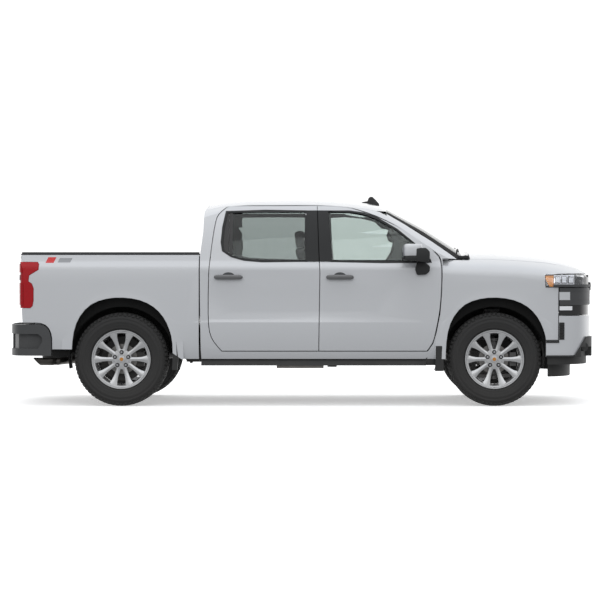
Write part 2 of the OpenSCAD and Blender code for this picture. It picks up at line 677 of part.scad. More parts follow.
bed_front_x = -976;
wheelhouse = [rear_x - 540, rear_x + 540];
module bed_floor() color(paint) {
    difference() {
        union() {
            block([-2616, bed_front_x], [-bed_half_w, bed_half_w], [bed_floor_z - 40, bed_floor_z]);
            block([bed_front_x - 40, bed_front_x], [-bed_half_w, bed_half_w], [bed_floor_z - 40, bed_rail_z]);
            both_sides() block(wheelhouse, [640, bed_half_w], [bed_floor_z - 40, 1080]);
        }
        both_sides() block([wheelhouse[0] + 25, wheelhouse[1] - 25], [665, 1000], [700, 1055]);
        for (x = [-2500, -1080], y = [-780, 780])
            translate([x, y, 800]) cylinder(h = 100, r = 9, $fn = 48);
    }
    for (x = [-2560, -2360, -1240, -1060]) block([x, x + 60], [-800, 800], [742, bed_floor_z - 40]);
}

bed_side_outline = concat(tail_edge, [[bed_front_x, bed_rail_z], [bed_front_x, 449], [-1140, 449],
    [-1500, 700], [-2000, 700], [-2180, 541], [-2368, 541], [-2366, 640], [-2374, 692],
    [-2392, 736], [-2424, 772], [-2474, 792], [-2520, 796]]);
module bed_side() difference() {
    union() {
        intersection() {
            skin_slab(-2700, bed_front_x);
            along_y(0, wide) polygon(bed_side_outline);
        }
        intersection() {
            flare(rear_x);
            along_y(0, wide) polygon(bed_side_outline);
        }
    }
    arch_hole(rear_x);
    block([-2800, -900], [0, bed_half_w + 0.5], [300, 1500]);
    along_x(-2800, -900) polygon([[0, 300], [side_half_w - 88, 300], [side_half_w - 36, 500], [side_half_w - 30, 835],
        [0, 835]]);
    block([wheelhouse[0] + 25, wheelhouse[1] - 25], [0, side_half_w - 32], [300, 1055]);
    along_y(side_half_w - 130, wide) offset(delta = 2) polygon(lamp_side);
    translate([-2700, 0, 0]) along_z(1100, 1500) polygon([[-60, 850], [-60, 1100], [80, 1100], [30, 1012], [4, 975]]);
}
module bed_sides() color(paint) both_sides() bed_side();

module bed_rail_caps() color(black) both_sides() along_x(-2662, bed_front_x)
    polygon([[bed_half_w, bed_rail_z], [bed_half_w, bed_rail_z + 18], [bed_half_w + 12, bed_rail_z + 26],
        [930, bed_rail_z + 28], [947, bed_rail_z + 21], [953, bed_rail_z]]);

module tail_lights() color(lens_red) both_sides() intersection() {
    side_slab(-2700, -2400, -4);
    along_y(side_half_w - 128, wide) polygon(lamp_side);
    along_z(800, 1500) polygon([[-2676, 860], [-2676, 960], [-2664, 990], [-2640, 1004], [-2400, 1010], [-2400, 860]]);
}

bumper_step = [480, 776];
module rear_bumper() color(grey) difference() {
    along_z(bumper_step[0], bumper_step[1]) difference() {
        polygon(both_halves(back_to_front(spline(tail_plan, 2))));
        polygon(both_halves([[-2200, 930], [-2560, 925], [-2640, 860], [-2664, 700], [-2670, 0]]));
        translate([-2376, -wide]) square([400, 2 * wide]);
    }
    along_y(-wide, wide) polygon([[-2377, 640], [-2385, 690], [-2401, 728], [-2430, 759],
        [-2478, 777], [-2300, 790], [-2300, 640]]);
    block([-2900, -2680], [-330, 330], [700, 800]);
    block([-2900, -2700], [-60, 60], [400, 680]);
    block([-2900, -2600], [-60, 60], [400, 640]);
    intersection() {
        both_sides() along_y(560, wide) polygon([[-2900, 688], [-2500, 686], [-2464, 656], [-2460, 612],
            [-2502, 548], [-2900, 542]]);
        along_z(500, 720) difference() {
            translate([-2900, -wide]) square([600, 2 * wide]);
            polygon(both_halves([[-2000, 962], [-2600, 950], [-2700, 880], [-2752, 760], [-2772, 560], [-2780, 0]]));
        }
    }
    translate([-2750, 0, 600]) cylinder(h = 200, r = 12.7, $fn = 48);
}

module tailgate() color(paint) difference() {
    union() {
        along_y(-bed_half_w + seam, bed_half_w - seam) polygon([[-2624, 842], [-2624, 1437], [-2668, 1437],
            [-2690, 1424], [-2686, 1400], [-2672, 1380], [-2676, 1180], [-2668, 842]]);
    }
    along_y(-210, 210) translate([-2684, 1330]) offset(r = 12) square([30, 46], center = true);
    along_y(-700, 700) polygon([[-2690, 1270], [-2664, 1256], [-2660, 960], [-2690, 946]]);
}

// ---- Steering and wheels ----

module knuckle() color(grey) translate([front_x, kingpin_y, axle_z]) {
    translate([0, 0, -150]) cylinder(h = 316, r = 28, $fn = 48);
    bar([0, -40, 0], [0, 36, 0], 64);
    bar([0, 30, 0], [0, 72, 0], spindle_r);
    block([-150, -20], [-40, -12], [-46, -16]);
    block([150, 212], [-34, 44], [-64, 64]);
    block([20, 152], [-34, -12], [-30, 30]);
}

tyre_line = [[282, -108], [300, -126], [345, -137.5], [392, -134], [426, -122], [441, -104], [444.5, -70]];
module tyre() color(black) rotate_extrude($fn = 128) scale([tyre_d / 889, tyre_w / 275])
    polygon(concat(tyre_line, [for (p = back_to_front(tyre_line)) [p[0], -p[1]]]));

module rim_window() offset(r = 7, $fn = 24) polygon([[228, -30], [232, 0], [228, 30], [130, 9], [130, -9]]);

rim_r = rim_d / 2;
module rim() color(alloy) difference() {
    union() {
        rotate_extrude($fn = 128) polygon([[rim_r, -118], [rim_r, -104], [262, -98], [248, -74], [248, 40],
            [262, 94], [rim_r, 102], [rim_r, 118], [271, 118], [258, 102], [238, 60], [238, -78], [250, -118]]);
        rotate_extrude($fn = 128) polygon([[0, 40], [0, 76], [85, 78], [112, 68], [190, 80], [250, 106], [262, 106],
            [242, 64], [190, 48], [112, 38]]);
    }
    for (i = [0:window_count - 1]) rotate([0, 0, 90 + i * 360 / window_count])
        linear_extrude(200) rim_window();
    for (i = [0:lug_count - 1]) rotate([0, 0, 90 + i * 360 / lug_count]) translate([70, 0, 62])
        cylinder(h = 40, r = 14, $fn = 32);
    translate([0, 0, 20]) cylinder(h = 34, r = hub_bore_r, $fn = 48);
}

module left_wheel(x) translate([x, wheel_y, axle_z]) rotate([-90, 0, 0]) children();
module right_wheel(x) translate([x, -wheel_y, axle_z]) rotate([90, 0, 0]) children();

ladder_frame();
front_suspension();
rear_axle();
engine_block();
driveline();
exhaust();
fuel_tank();
spare_tyre();
cab_floor();
cab_sides();
cab_back();
roof_panel();
cab_glass();
cowl();
dashboard();
steering_wheel();
front_seats();
rear_seat();
front_fenders();
grille();
headlights();
front_bumper();
front_valance();
wheel_liners();
rocker_trims();
antenna();
bed_floor();
bed_sides();
bed_rail_caps();
tail_lights();
rear_bumper();
hood();
tailgate();
door(true);  // door_front_left
mirror([0, 1, 0]) door(true);  // door_front_right
door(false);  // door_rear_left
mirror([0, 1, 0]) door(false);  // door_rear_right
door_glass(true);  // glass_front_left
mirror([0, 1, 0]) door_glass(true);  // glass_front_right
door_glass(false);  // glass_rear_left
mirror([0, 1, 0]) door_glass(false);  // glass_rear_right
mirror_housing();  // mirror_left
mirror([0, 1, 0]) mirror_housing();  // mirror_right
knuckle();  // knuckle_left
mirror([0, 1, 0]) knuckle();  // knuckle_right
left_wheel(front_x) tyre();  // tyre_front_left
right_wheel(front_x) tyre();  // tyre_front_right
left_wheel(rear_x) tyre();  // tyre_rear_left
right_wheel(rear_x) tyre();  // tyre_rear_right
left_wheel(front_x) rim();  // rim_front_left
right_wheel(front_x) rim();  // rim_front_right
left_wheel(rear_x) rim();  // rim_rear_left
right_wheel(rear_x) rim();  // rim_rear_right
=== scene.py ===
import math

import bmesh
import bpy
from bpy.props import FloatProperty, FloatVectorProperty, IntProperty, PointerProperty
from mathutils import Matrix, Vector


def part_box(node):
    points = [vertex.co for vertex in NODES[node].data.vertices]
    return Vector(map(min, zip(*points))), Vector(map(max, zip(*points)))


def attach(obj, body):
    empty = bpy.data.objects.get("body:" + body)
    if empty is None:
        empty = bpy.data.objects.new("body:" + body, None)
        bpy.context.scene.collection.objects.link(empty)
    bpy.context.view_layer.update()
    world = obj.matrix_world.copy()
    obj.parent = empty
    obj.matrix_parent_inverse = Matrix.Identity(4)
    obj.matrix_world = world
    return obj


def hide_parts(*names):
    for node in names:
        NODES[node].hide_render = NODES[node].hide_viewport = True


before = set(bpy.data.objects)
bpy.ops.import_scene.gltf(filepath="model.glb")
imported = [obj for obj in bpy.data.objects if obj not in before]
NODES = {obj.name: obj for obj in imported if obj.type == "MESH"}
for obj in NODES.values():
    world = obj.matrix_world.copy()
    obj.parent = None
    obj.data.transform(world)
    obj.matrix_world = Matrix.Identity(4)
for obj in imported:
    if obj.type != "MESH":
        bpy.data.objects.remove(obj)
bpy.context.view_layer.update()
SIDES = {"left": 1, "right": -1}

bl_info = {
    "name": "Pickup truck",
    "version": (1, 0, 0),
    "blender": (4, 5, 0),
    "location": "View3D > Sidebar > Truck",
    "description": "Finishes, trim, lamps, wheels and seats of a crew-cab pickup truck",
    "category": "Object",
}

# Places read from the frame, in metres.
TYRE_LOW, TYRE_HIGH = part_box("tyre_front_left")
REAR_LOW, REAR_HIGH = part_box("tyre_rear_left")
AXLE_Z = (TYRE_LOW.z + TYRE_HIGH.z) / 2
TYRE_R = (TYRE_HIGH.z - TYRE_LOW.z) / 2
FRONT_X = (TYRE_LOW.x + TYRE_HIGH.x) / 2
REAR_X = (REAR_LOW.x + REAR_HIGH.x) / 2
WHEEL_Y = (TYRE_LOW.y + TYRE_HIGH.y) / 2
BED_BACK_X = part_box("bed_floor")[0].x

# Fixed places and tolerances, in metres.
BED_FLOOR_Z = 0.880
BELT_Z = 1.374
HANDLE_Z = 1.226
SEAT_X, SEAT_Y = 0.380, 0.405
NUT_CIRCLE_R = 0.068
NUT_ANGLES = [math.radians(90 + 72 * i) for i in range(5)]
PAD_EDGE = 0.035
PAD_SWELL = 0.024
CAD_WELD = 2e-5
MESH_WELD = 1e-6


class TruckSettings(bpy.types.PropertyGroup):
    """Colours and sizes of the trim that a user would change."""

    paint: FloatVectorProperty(
        name="Paint", description="Body paint", subtype="COLOR", default=(0.60, 0.615, 0.64), min=0, max=1)
    dark_trim: FloatVectorProperty(
        name="Dark trim", description="Grained black mouldings", subtype="COLOR",
        default=(0.018, 0.019, 0.02), min=0, max=1)
    grey_trim: FloatVectorProperty(
        name="Grey trim", description="Rear bumper and lamp surrounds", subtype="COLOR",
        default=(0.055, 0.057, 0.06), min=0, max=1)
    rubber: FloatVectorProperty(
        name="Rubber", description="Tyre rubber", subtype="COLOR", default=(0.022, 0.022, 0.0225), min=0, max=1)
    lamp_red: FloatVectorProperty(
        name="Tail lamp", description="Red of the rear lamps", subtype="COLOR",
        default=(0.36, 0.003, 0.008), min=0, max=1)
    panel_edge: FloatProperty(
        name="Panel edge", description="Rounding of a panel's edge", unit="LENGTH",
        default=0.0025, min=0, max=0.01)
    tread_depth: FloatProperty(
        name="Tread depth", description="Height of a tread block", unit="LENGTH",
        default=0.008, min=0.002, max=0.012)
    tread_blocks: IntProperty(
        name="Tread blocks", description="Blocks round one tyre", default=64, min=40, max=90)
    spokes: IntProperty(name="Spokes", description="Spokes of a rim", default=10, min=6, max=12)


def settings():
    return bpy.context.scene.truck_settings


# ---- Shader node groups ----

def new_group(name, inputs, outputs):
    tree = bpy.data.node_groups.new(name, "ShaderNodeTree")
    for label, kind, value in inputs:
        socket = tree.interface.new_socket(label, in_out="INPUT", socket_type=kind)
        if value is not None:
            socket.default_value = value
    for label, kind in outputs:
        tree.interface.new_socket(label, in_out="OUTPUT", socket_type=kind)
    return tree, tree.nodes.new("NodeGroupInput"), tree.nodes.new("NodeGroupOutput")


def add(tree, kind, links=(), **values):
    """Adds a node, sets its properties and links sockets given as (input, source socket)."""
    made = tree.nodes.new(kind)
    for key, value in values.items():
        setattr(made, key, value)
    for socket, source in links:
        if hasattr(source, "is_output"):
            tree.links.new(source, made.inputs[socket])
        else:
            made.inputs[socket].default_value = source
    return made


def maths(tree, operation, a, b, **values):
    """Output of a node that joins two numbers."""
    return add(tree, "ShaderNodeMath", [(0, a), (1, b)], operation=operation, **values).outputs[0]


def mottle_group():
    """Slow change of a colour and a roughness over the surface."""
    tree, start, end = new_group(
        "mottle",
        [("Color", "NodeSocketColor", None), ("Roughness", "NodeSocketFloat", 0.5),
         ("Amount", "NodeSocketFloat", 0.1), ("Scale", "NodeSocketFloat", 4.0)],
        [("Color", "NodeSocketColor"), ("Roughness", "NodeSocketFloat")])
    place = add(tree, "ShaderNodeTexCoord")
    noise = add(tree, "ShaderNodeTexNoise",
                [("Vector", place.outputs["Object"]), ("Scale", start.outputs["Scale"]), ("Detail", 6.0)])
    centred = maths(tree, "SUBTRACT", noise.outputs["Fac"], 0.5)
    amount = maths(tree, "MULTIPLY", centred, start.outputs["Amount"])
    lift = maths(tree, "ADD", amount, 1.0)
    colour = add(tree, "ShaderNodeVectorMath", [(0, start.outputs["Color"])], operation="SCALE")
    tree.links.new(lift, colour.inputs["Scale"])
    rough = maths(tree, "ADD", start.outputs["Roughness"], amount, use_clamp=True)
    tree.links.new(colour.outputs[0], end.inputs["Color"])
    tree.links.new(rough, end.inputs["Roughness"])
    return tree


def grain_group():
    """Fine moulded grain as a height."""
    tree, start, end = new_group("grain", [("Scale", "NodeSocketFloat", 600.0)],
                                 [("Height", "NodeSocketFloat")])
    place = add(tree, "ShaderNodeTexCoord")
    cells = add(tree, "ShaderNodeTexVoronoi",
                [("Vector", place.outputs["Object"]), ("Scale", start.outputs["Scale"])])
    noise = add(tree, "ShaderNodeTexNoise",
                [("Vector", place.outputs["Object"]), ("Scale", start.outputs["Scale"]), ("Detail", 3.0)])
    both = maths(tree, "MULTIPLY", cells.outputs["Distance"], noise.outputs["Fac"])
    tree.links.new(both, end.inputs["Height"])
    return tree


def road_dust_group():
    """Mask of the thin dust that lies on a truck's lower parts."""
    tree, start, end = new_group(
        "road_dust", [("Top", "NodeSocketFloat", 0.9), ("Amount", "NodeSocketFloat", 0.3)],
        [("Mask", "NodeSocketFloat")])
    place = add(tree, "ShaderNodeTexCoord")
    split = add(tree, "ShaderNodeSeparateXYZ", [(0, place.outputs["Object"])])
    fade = add(tree, "ShaderNodeMapRange",
               [("Value", split.outputs["Z"]), ("From Min", start.outputs["Top"]), ("From Max", 0.1),
                ("To Min", 0.0), ("To Max", 1.0)])
    noise = add(tree, "ShaderNodeTexNoise",
                [("Vector", place.outputs["Object"]), ("Scale", 9.0), ("Detail", 8.0), ("Roughness", 0.7)])
    both = maths(tree, "MULTIPLY", fade.outputs[0], noise.outputs["Fac"])
    scaled = maths(tree, "MULTIPLY", both, start.outputs["Amount"], use_clamp=True)
    tree.links.new(scaled, end.inputs["Mask"])
    return tree


def weave_group():
    """Plain weave as a height and a thread mask."""
    tree, start, end = new_group("weave", [("Scale", "NodeSocketFloat", 900.0)],
                                 [("Height", "NodeSocketFloat")])
    place = add(tree, "ShaderNodeTexCoord")
    waves = [add(tree, "ShaderNodeTexWave",
                 [("Vector", place.outputs["Object"]), ("Scale", start.outputs["Scale"]),
                  ("Distortion", 0.6), ("Detail", 1.0)], bands_direction=axis)
             for axis in ("X", "Y", "Z")]
    first = maths(tree, "MULTIPLY", waves[0].outputs["Fac"], waves[1].outputs["Fac"])
    total = maths(tree, "ADD", first, waves[2].outputs["Fac"])
    tree.links.new(total, end.inputs["Height"])
    return tree


GROUPS = {}
FINISHES = {}
DUST = (0.34, 0.31, 0.27, 1.0)


def group_node(tree, name, links):
    if name not in GROUPS:
        GROUPS[name] = {"mottle": mottle_group, "grain": grain_group, "road_dust": road_dust_group,
                        "weave": weave_group}[name]()
    return add(tree, "ShaderNodeGroup", links, node_tree=GROUPS[name])


def finish(name, color, rough, mottle=0.06, mottle_scale=5.0, bump=None, bump_scale=600.0,
           bump_depth=0.0004, bump_strength=0.4, dust=0.0, dust_top=0.9, **sockets):
    """One material: a mottled colour, an optional bump and constants on the shader's own sockets."""
    if name in FINISHES:
        return FINISHES[name]
    made = bpy.data.materials.new(name)
    made.use_nodes = True
    tree = made.node_tree
    shader = tree.nodes["Principled BSDF"]
    tone = group_node(tree, "mottle", [("Color", (*color, 1.0)), ("Roughness", rough),
                                       ("Amount", mottle), ("Scale", mottle_scale)])
    colour = tone.outputs["Color"]
    if dust:
        mask = group_node(tree, "road_dust", [("Top", dust_top), ("Amount", dust)])
        mixed = add(tree, "ShaderNodeMix", data_type="RGBA")
        tree.links.new(mask.outputs["Mask"], mixed.inputs["Factor"])
        tree.links.new(colour, mixed.inputs["A"])
        mixed.inputs["B"].default_value = DUST
        colour = mixed.outputs["Result"]
    tree.links.new(colour, shader.inputs["Base Color"])
    tree.links.new(tone.outputs["Roughness"], shader.inputs["Roughness"])
    if bump:
        height = group_node(tree, bump, [("Scale", bump_scale)])
        normal = add(tree, "ShaderNodeBump",
                     [("Height", height.outputs["Height"]), ("Distance", bump_depth),
                      ("Strength", bump_strength)])
        tree.links.new(normal.outputs["Normal"], shader.inputs["Normal"])
    for key, value in sockets.items():
        shader.inputs[key.replace("_", " ")].default_value = value
    FINISHES[name] = made
    return made


def paint():
    return finish("silver_white_paint", tuple(settings().paint), 0.3, 0.02, 2.0, "grain", 2600.0, 0.00005,
                  0.12, dust=0.10, dust_top=0.7, Metallic=0.25, Coat_Weight=1.0, Coat_Roughness=0.04,
                  Coat_IOR=1.5)


def dark_plastic():
    return finish("grained_black_plastic", tuple(settings().dark_trim), 0.55, 0.18, 6.0, "grain", 900.0,
                  0.0004, 0.5, dust=0.10)


def grey_plastic():
    return finish("satin_grey_plastic", tuple(settings().grey_trim), 0.42, 0.12, 6.0, "grain", 1100.0,
                  0.0003, 0.35, dust=0.08)


def gloss_black():
    return finish("gloss_black_plastic", (0.012, 0.012, 0.013), 0.12, 0.05, 4.0, Coat_Weight=0.6)


def rubber():
    return finish("tyre_rubber", tuple(settings().rubber), 0.72, 0.2, 9.0, "grain", 1400.0, 0.0004, 0.5,
                  dust=0.05, dust_top=1.2)


def seal_rubber():
    return finish("seal_rubber", (0.012, 0.012, 0.013), 0.6, 0.1, 20.0, "grain", 1500.0, 0.0002, 0.3)


def alloy():
    return finish("bright_alloy", (0.68, 0.685, 0.695), 0.28, 0.05, 12.0, "grain", 1800.0, 0.0001, 0.15,
                  Metallic=0.85, Coat_Weight=0.5, Coat_Roughness=0.08)


def chrome():
    return finish("bright_chrome", (0.75, 0.75, 0.77), 0.08, 0.04, 14.0, Metallic=1.0)


def disc_steel():
    return finish("turned_steel", (0.30, 0.29, 0.28), 0.38, 0.25, 16.0, "grain", 2000.0, 0.0002, 0.3,
                  Metallic=0.9)


def chassis_black():
    return finish("chassis_black", (0.022, 0.022, 0.024), 0.5, 0.25, 5.0, "grain", 300.0, 0.0006, 0.35,
                  dust=0.35, dust_top=1.1)


def cast_grey():
    return finish("cast_grey", (0.13, 0.13, 0.135), 0.6, 0.3, 9.0, "grain", 260.0, 0.001, 0.5, dust=0.3,
                  dust_top=1.2, Metallic=0.5)


def exhaust_steel():
    return finish("exhaust_steel", (0.085, 0.08, 0.075), 0.45, 0.5, 5.0, "grain", 500.0, 0.0003, 0.3,
                  dust=0.25, Metallic=0.85)


def front_glass():
    return finish("front_side_glass", (0.62, 0.68, 0.66), 0.02, 0.01, 2.0, Transmission_Weight=1.0, IOR=1.5)


def glass():
    return finish("tinted_glass", (0.46, 0.50, 0.49), 0.02, 0.01, 2.0, Transmission_Weight=1.0, IOR=1.5)


def clear_cover():
    return finish("clear_lamp_cover", (0.97, 0.98, 1.0), 0.02, 0.0, 2.0, Transmission_Weight=1.0, IOR=1.46)


def red_lens():
    return finish("red_lamp_lens", tuple(settings().lamp_red), 0.2, 0.15, 30.0, Coat_Weight=0.25,
                  Coat_Roughness=0.05, IOR=1.36)


def amber_lens():
    return finish("amber_lamp_lens", (0.75, 0.26, 0.02), 0.14, 0.1, 30.0, Coat_Weight=1.0)


def white_lens():
    return finish("white_lamp_lens", (0.85, 0.87, 0.9), 0.12, 0.05, 30.0, Coat_Weight=1.0)


def cabin_plastic():
    return finish("cabin_plastic", (0.030, 0.030, 0.032), 0.62, 0.12, 6.0, "grain", 800.0, 0.0004, 0.5)


def underseal():
    return finish("black_underseal", (0.006, 0.006, 0.006), 0.92, 0.2, 8.0, "grain", 240.0, 0.001, 0.4)


def headliner():
    return finish("headliner_cloth", (0.07, 0.068, 0.065), 0.95, 0.05, 20.0, "grain", 700.0, 0.0004, 0.4)


def screen_glass():
    return finish("dark_screen_glass", (0.07, 0.09, 0.085), 0.02, 0.01, 2.0, Transmission_Weight=1.0, IOR=1.3)


def leather():
    return finish("black_leather", (0.022, 0.022, 0.023), 0.45, 0.15, 8.0, "grain", 420.0, 0.0006, 0.6)


def seat_cloth():
    return finish("woven_seat_cloth", (0.055, 0.055, 0.06), 0.85, 0.18, 14.0, "weave", 420.0, 0.0008, 0.6,
                  Sheen_Weight=0.3, Sheen_Roughness=0.5)


def carpet():
    return finish("floor_carpet", (0.035, 0.034, 0.034), 0.95, 0.3, 60.0, "grain", 350.0, 0.003, 0.9)


def mirror_glass():
    return finish("mirror_glass", (0.55, 0.57, 0.6), 0.03, 0.01, 3.0, Metallic=1.0)


def red_film():
    return finish("red_stripe_film", (0.62, 0.02, 0.02), 0.25, 0.04, 10.0, Coat_Weight=0.8)


def grey_film():
    return finish("grey_stripe_film", (0.30, 0.31, 0.33), 0.25, 0.04, 10.0, Coat_Weight=0.8)


def plate_paint():
    return finish("blank_plate", (0.80, 0.80, 0.78), 0.35, 0.05, 12.0, Coat_Weight=0.4)


# ---- Mesh helpers ----

def box(bm, low, high):
    made = bmesh.ops.create_cube(bm, size=1.0)["verts"]
    low, high = Vector(low), Vector(high)
    bmesh.ops.scale(bm, vec=high - low, verts=made)
    bmesh.ops.translate(bm, vec=(low + high) / 2, verts=made)
    return made


def soft_box(low, high, width):
    """New bmesh with one box whose edges are rounded."""
    bm = bmesh.new()
    box(bm, low, high)
    soften(bm, width)
    return bm


def turned(a, b):
    """Matrix that takes the Z axis onto the line from a to b, centred between them."""
    a, b = Vector(a), Vector(b)
    turn = (b - a).to_track_quat("Z", "Y").to_matrix().to_4x4()
    return Matrix.Translation((a + b) / 2) @ turn


def rod(bm, a, b, r1, r2=None, segments=24):
    return bmesh.ops.create_cone(
        bm, cap_ends=True, segments=segments, radius1=r1, radius2=r1 if r2 is None else r2,
        depth=(Vector(b) - Vector(a)).length, matrix=turned(a, b))["verts"]


def line(bm, points):
    verts = [bm.verts.new(p) for p in points]
    return verts, [bm.edges.new(pair) for pair in zip(verts, verts[1:])]


def ring(bm, points):
    verts, edges = line(bm, points)
    edges.append(bm.edges.new((verts[-1], verts[0])))
    return verts, edges


def lathe(bm, profile, steps):
    """Turns [radius, height] points round Z."""
    verts, edges = line(bm, [(r, 0, z) for r, z in profile])
    bmesh.ops.spin(bm, geom=verts + edges, cent=(0, 0, 0), axis=(0, 0, 1), angle=math.tau,
                   steps=steps, use_merge=True)
    bmesh.ops.remove_doubles(bm, verts=bm.verts, dist=MESH_WELD)


def lathed(profile, steps):
    bm = bmesh.new()
    lathe(bm, profile, steps)
    return bm


def loft(bm, loops):
    """Skin through closed loops of equal length, with both ends closed."""
    rings = [ring(bm, points) for points in loops]
    for (_, a), (_, b) in zip(rings, rings[1:]):
        bmesh.ops.bridge_loops(bm, edges=a + b)
    for verts in (rings[0][0], rings[-1][0]):
        bm.faces.new(verts)


def soften(bm, width, angle=30.0, segments=2):
    """Rounds the sharp edges."""
    sharp = [e for e in bm.edges if e.is_manifold and e.calc_face_angle(0) > math.radians(angle)]
    if sharp:
        bmesh.ops.bevel(bm, geom=sharp, offset=width, offset_type="OFFSET", segments=segments,
                        profile=0.5, affect="EDGES", material=-1, clamp_overlap=True)


def shade(data, flat_above=35.0):
    for polygon in data.polygons:
        polygon.use_smooth = True
    data.set_sharp_from_angle(angle=math.radians(flat_above))


def piece(name, bm, body, slot, *materials, sharp=35.0, matrix=None, mirror=False):
    """Makes a finished object from a bmesh and lets it ride on a body."""
    if matrix is not None:
        bm.transform(matrix)
    if mirror:
        bmesh.ops.scale(bm, vec=(1, -1, 1), verts=bm.verts)
    bmesh.ops.remove_doubles(bm, verts=bm.verts, dist=MESH_WELD)
    bmesh.ops.recalc_face_normals(bm, faces=bm.faces)
    data = bpy.data.meshes.new(name)
    bm.to_mesh(data)
    bm.free()
    for material in materials:
        data.materials.append(material)
    shade(data, sharp)
    made = bpy.data.objects.new(name, data)
    bpy.context.scene.collection.objects.link(made)
    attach(made, body)
    return made


def trim(name, bm, body="body", **values):
    """A piece of grained black plastic."""
    return piece(name, bm, body, "black_plastic", dark_plastic(), **values)


def cad_copy(node):
    """Merged bmesh copy of a CAD node."""
    bm = bmesh.new()
    bm.from_mesh(NODES[node].data)
    bmesh.ops.remove_doubles(bm, verts=bm.verts, dist=CAD_WELD)
    bmesh.ops.dissolve_limit(bm, angle_limit=math.radians(0.4), verts=bm.verts, edges=bm.edges)
    return bm


def keep_between(bm, axis, low, high):
    """Cuts away what lies outside two planes across an axis."""
    normal = Vector([1.0 if i == axis else 0.0 for i in range(3)])
    for place, way in ((low, -1), (high, 1)):
        if place is not None:
            bmesh.ops.bisect_plane(bm, geom=bm.verts[:] + bm.edges[:] + bm.faces[:], plane_co=normal * place,
                                   plane_no=normal * way, clear_outer=True)


def keep_facing(bm, direction, least=0.3):
    gone = [f for f in bm.faces if f.normal.dot(Vector(direction)) < least]
    bmesh.ops.delete(bm, geom=gone, context="FACES")


def thicken(bm, thickness, lift=0.0):
    """Moves a patch out along its normals and gives it a thickness."""
    bm.normal_update()
    for v in bm.verts:
        v.co += v.normal * lift
    bmesh.ops.solidify(bm, geom=bm.faces[:], thickness=-thickness)


def dress(node, material, edge=None, angle=28.0):
    """Gives a CAD node its finish, rounded edges and smooth shading."""
    made = NODES[node]
    made.data.materials.clear()
    made.data.materials.append(material)
    for polygon in made.data.polygons:
        polygon.use_smooth = True
    weld = made.modifiers.new("weld", "WELD")
    weld.merge_threshold = CAD_WELD
    flat = made.modifiers.new("flat", "DECIMATE")
    flat.decimate_type = "DISSOLVE"
    flat.angle_limit = math.radians(0.4)
    flat.delimit = {"MATERIAL"}
    if edge is None:
        edge = settings().panel_edge
    if edge:
        bevel = made.modifiers.new("edge", "BEVEL")
        bevel.width = edge
        bevel.segments = 2
        bevel.limit_method = "ANGLE"
        bevel.angle_limit = math.radians(angle)
        bevel.harden_normals = True
    normals = made.modifiers.new("normals", "WEIGHTED_NORMAL")
    normals.keep_sharp = True
    return made


def dress_where(node, material, test):
    """Gives a second finish to the faces of a CAD node that pass a test of their centre and normal."""
    made = NODES[node]
    made.data.materials.append(material)
    turn = made.matrix_world.to_3x3()
    for polygon in made.data.polygons:
        if test(made.matrix_world @ polygon.center, turn @ polygon.normal):
            polygon.material_index = len(made.data.materials) - 1


# ---- Stage ----

def set_camera(scene):
    """Long lens from the side, level with the doors."""
    camera = bpy.data.objects.new("camera", bpy.data.cameras.new("camera"))
    scene.collection.objects.link(camera)
    camera.location = (0.48, -21.39, 1.247)
    camera.rotation_euler = (math.radians(90), 0, 0)
    camera.data.lens = 128.9
    camera.data.shift_x = -0.0867
    camera.data.shift_y = -0.0417
    camera.data.clip_end = 300
    scene.camera = camera
    scene.view_settings.view_transform = "Standard"


def lay_floor(scene):
    """Pale floor that gives the truck a shadow."""
    bm = bmesh.new()
    bmesh.ops.create_grid(bm, x_segments=2, y_segments=2, size=120)
    data = bpy.data.meshes.new("floor")
    bm.to_mesh(data)
    bm.free()
    data.materials.append(finish("pale_floor", (0.93, 0.93, 0.93), 0.8, 0.0, 1.0,
                                 Emission_Color=(1, 1, 1, 1), Emission_Strength=0.4))
    floor = bpy.data.objects.new("floor", data)
    scene.collection.objects.link(floor)
    floor.visible_diffuse = False
    floor.visible_glossy = False


def light_world(scene):
    """Soft sky, darker low down and white behind the truck."""
    world = bpy.data.worlds.new("studio")
    world.use_nodes = True
    scene.world = world
    tree = world.node_tree
    place = add(tree, "ShaderNodeTexCoord")
    split = add(tree, "ShaderNodeSeparateXYZ", [(0, place.outputs["Generated"])])
    ramp = add(tree, "ShaderNodeValToRGB", [("Fac", split.outputs["Z"])])
    ramp.color_ramp.elements[0].color = (0.32, 0.325, 0.33, 1)
    ramp.color_ramp.elements[0].position = 0.0
    ramp.color_ramp.elements[1].color = (0.85, 0.87, 0.9, 1)
    ramp.color_ramp.elements[1].position = 0.9
    for position, value in ((0.06, 0.62), (0.20, 0.46), (0.42, 0.62), (0.62, 0.95)):
        element = ramp.color_ramp.elements.new(position)
        element.color = (value * 0.985, value * 0.992, value, 1)
    behind = add(tree, "ShaderNodeMapRange",
                 [("Value", split.outputs["Y"]), ("From Min", 0.1), ("From Max", 0.6)])
    mixed = add(tree, "ShaderNodeMix", data_type="RGBA")
    tree.links.new(behind.outputs[0], mixed.inputs["Factor"])
    tree.links.new(ramp.outputs["Color"], mixed.inputs["A"])
    mixed.inputs["B"].default_value = (1.0, 1.0, 1.0, 1.0)
    back = tree.nodes["Background"]
    tree.links.new(mixed.outputs["Result"], back.inputs["Color"])
    back.inputs["Strength"].default_value = 1.15


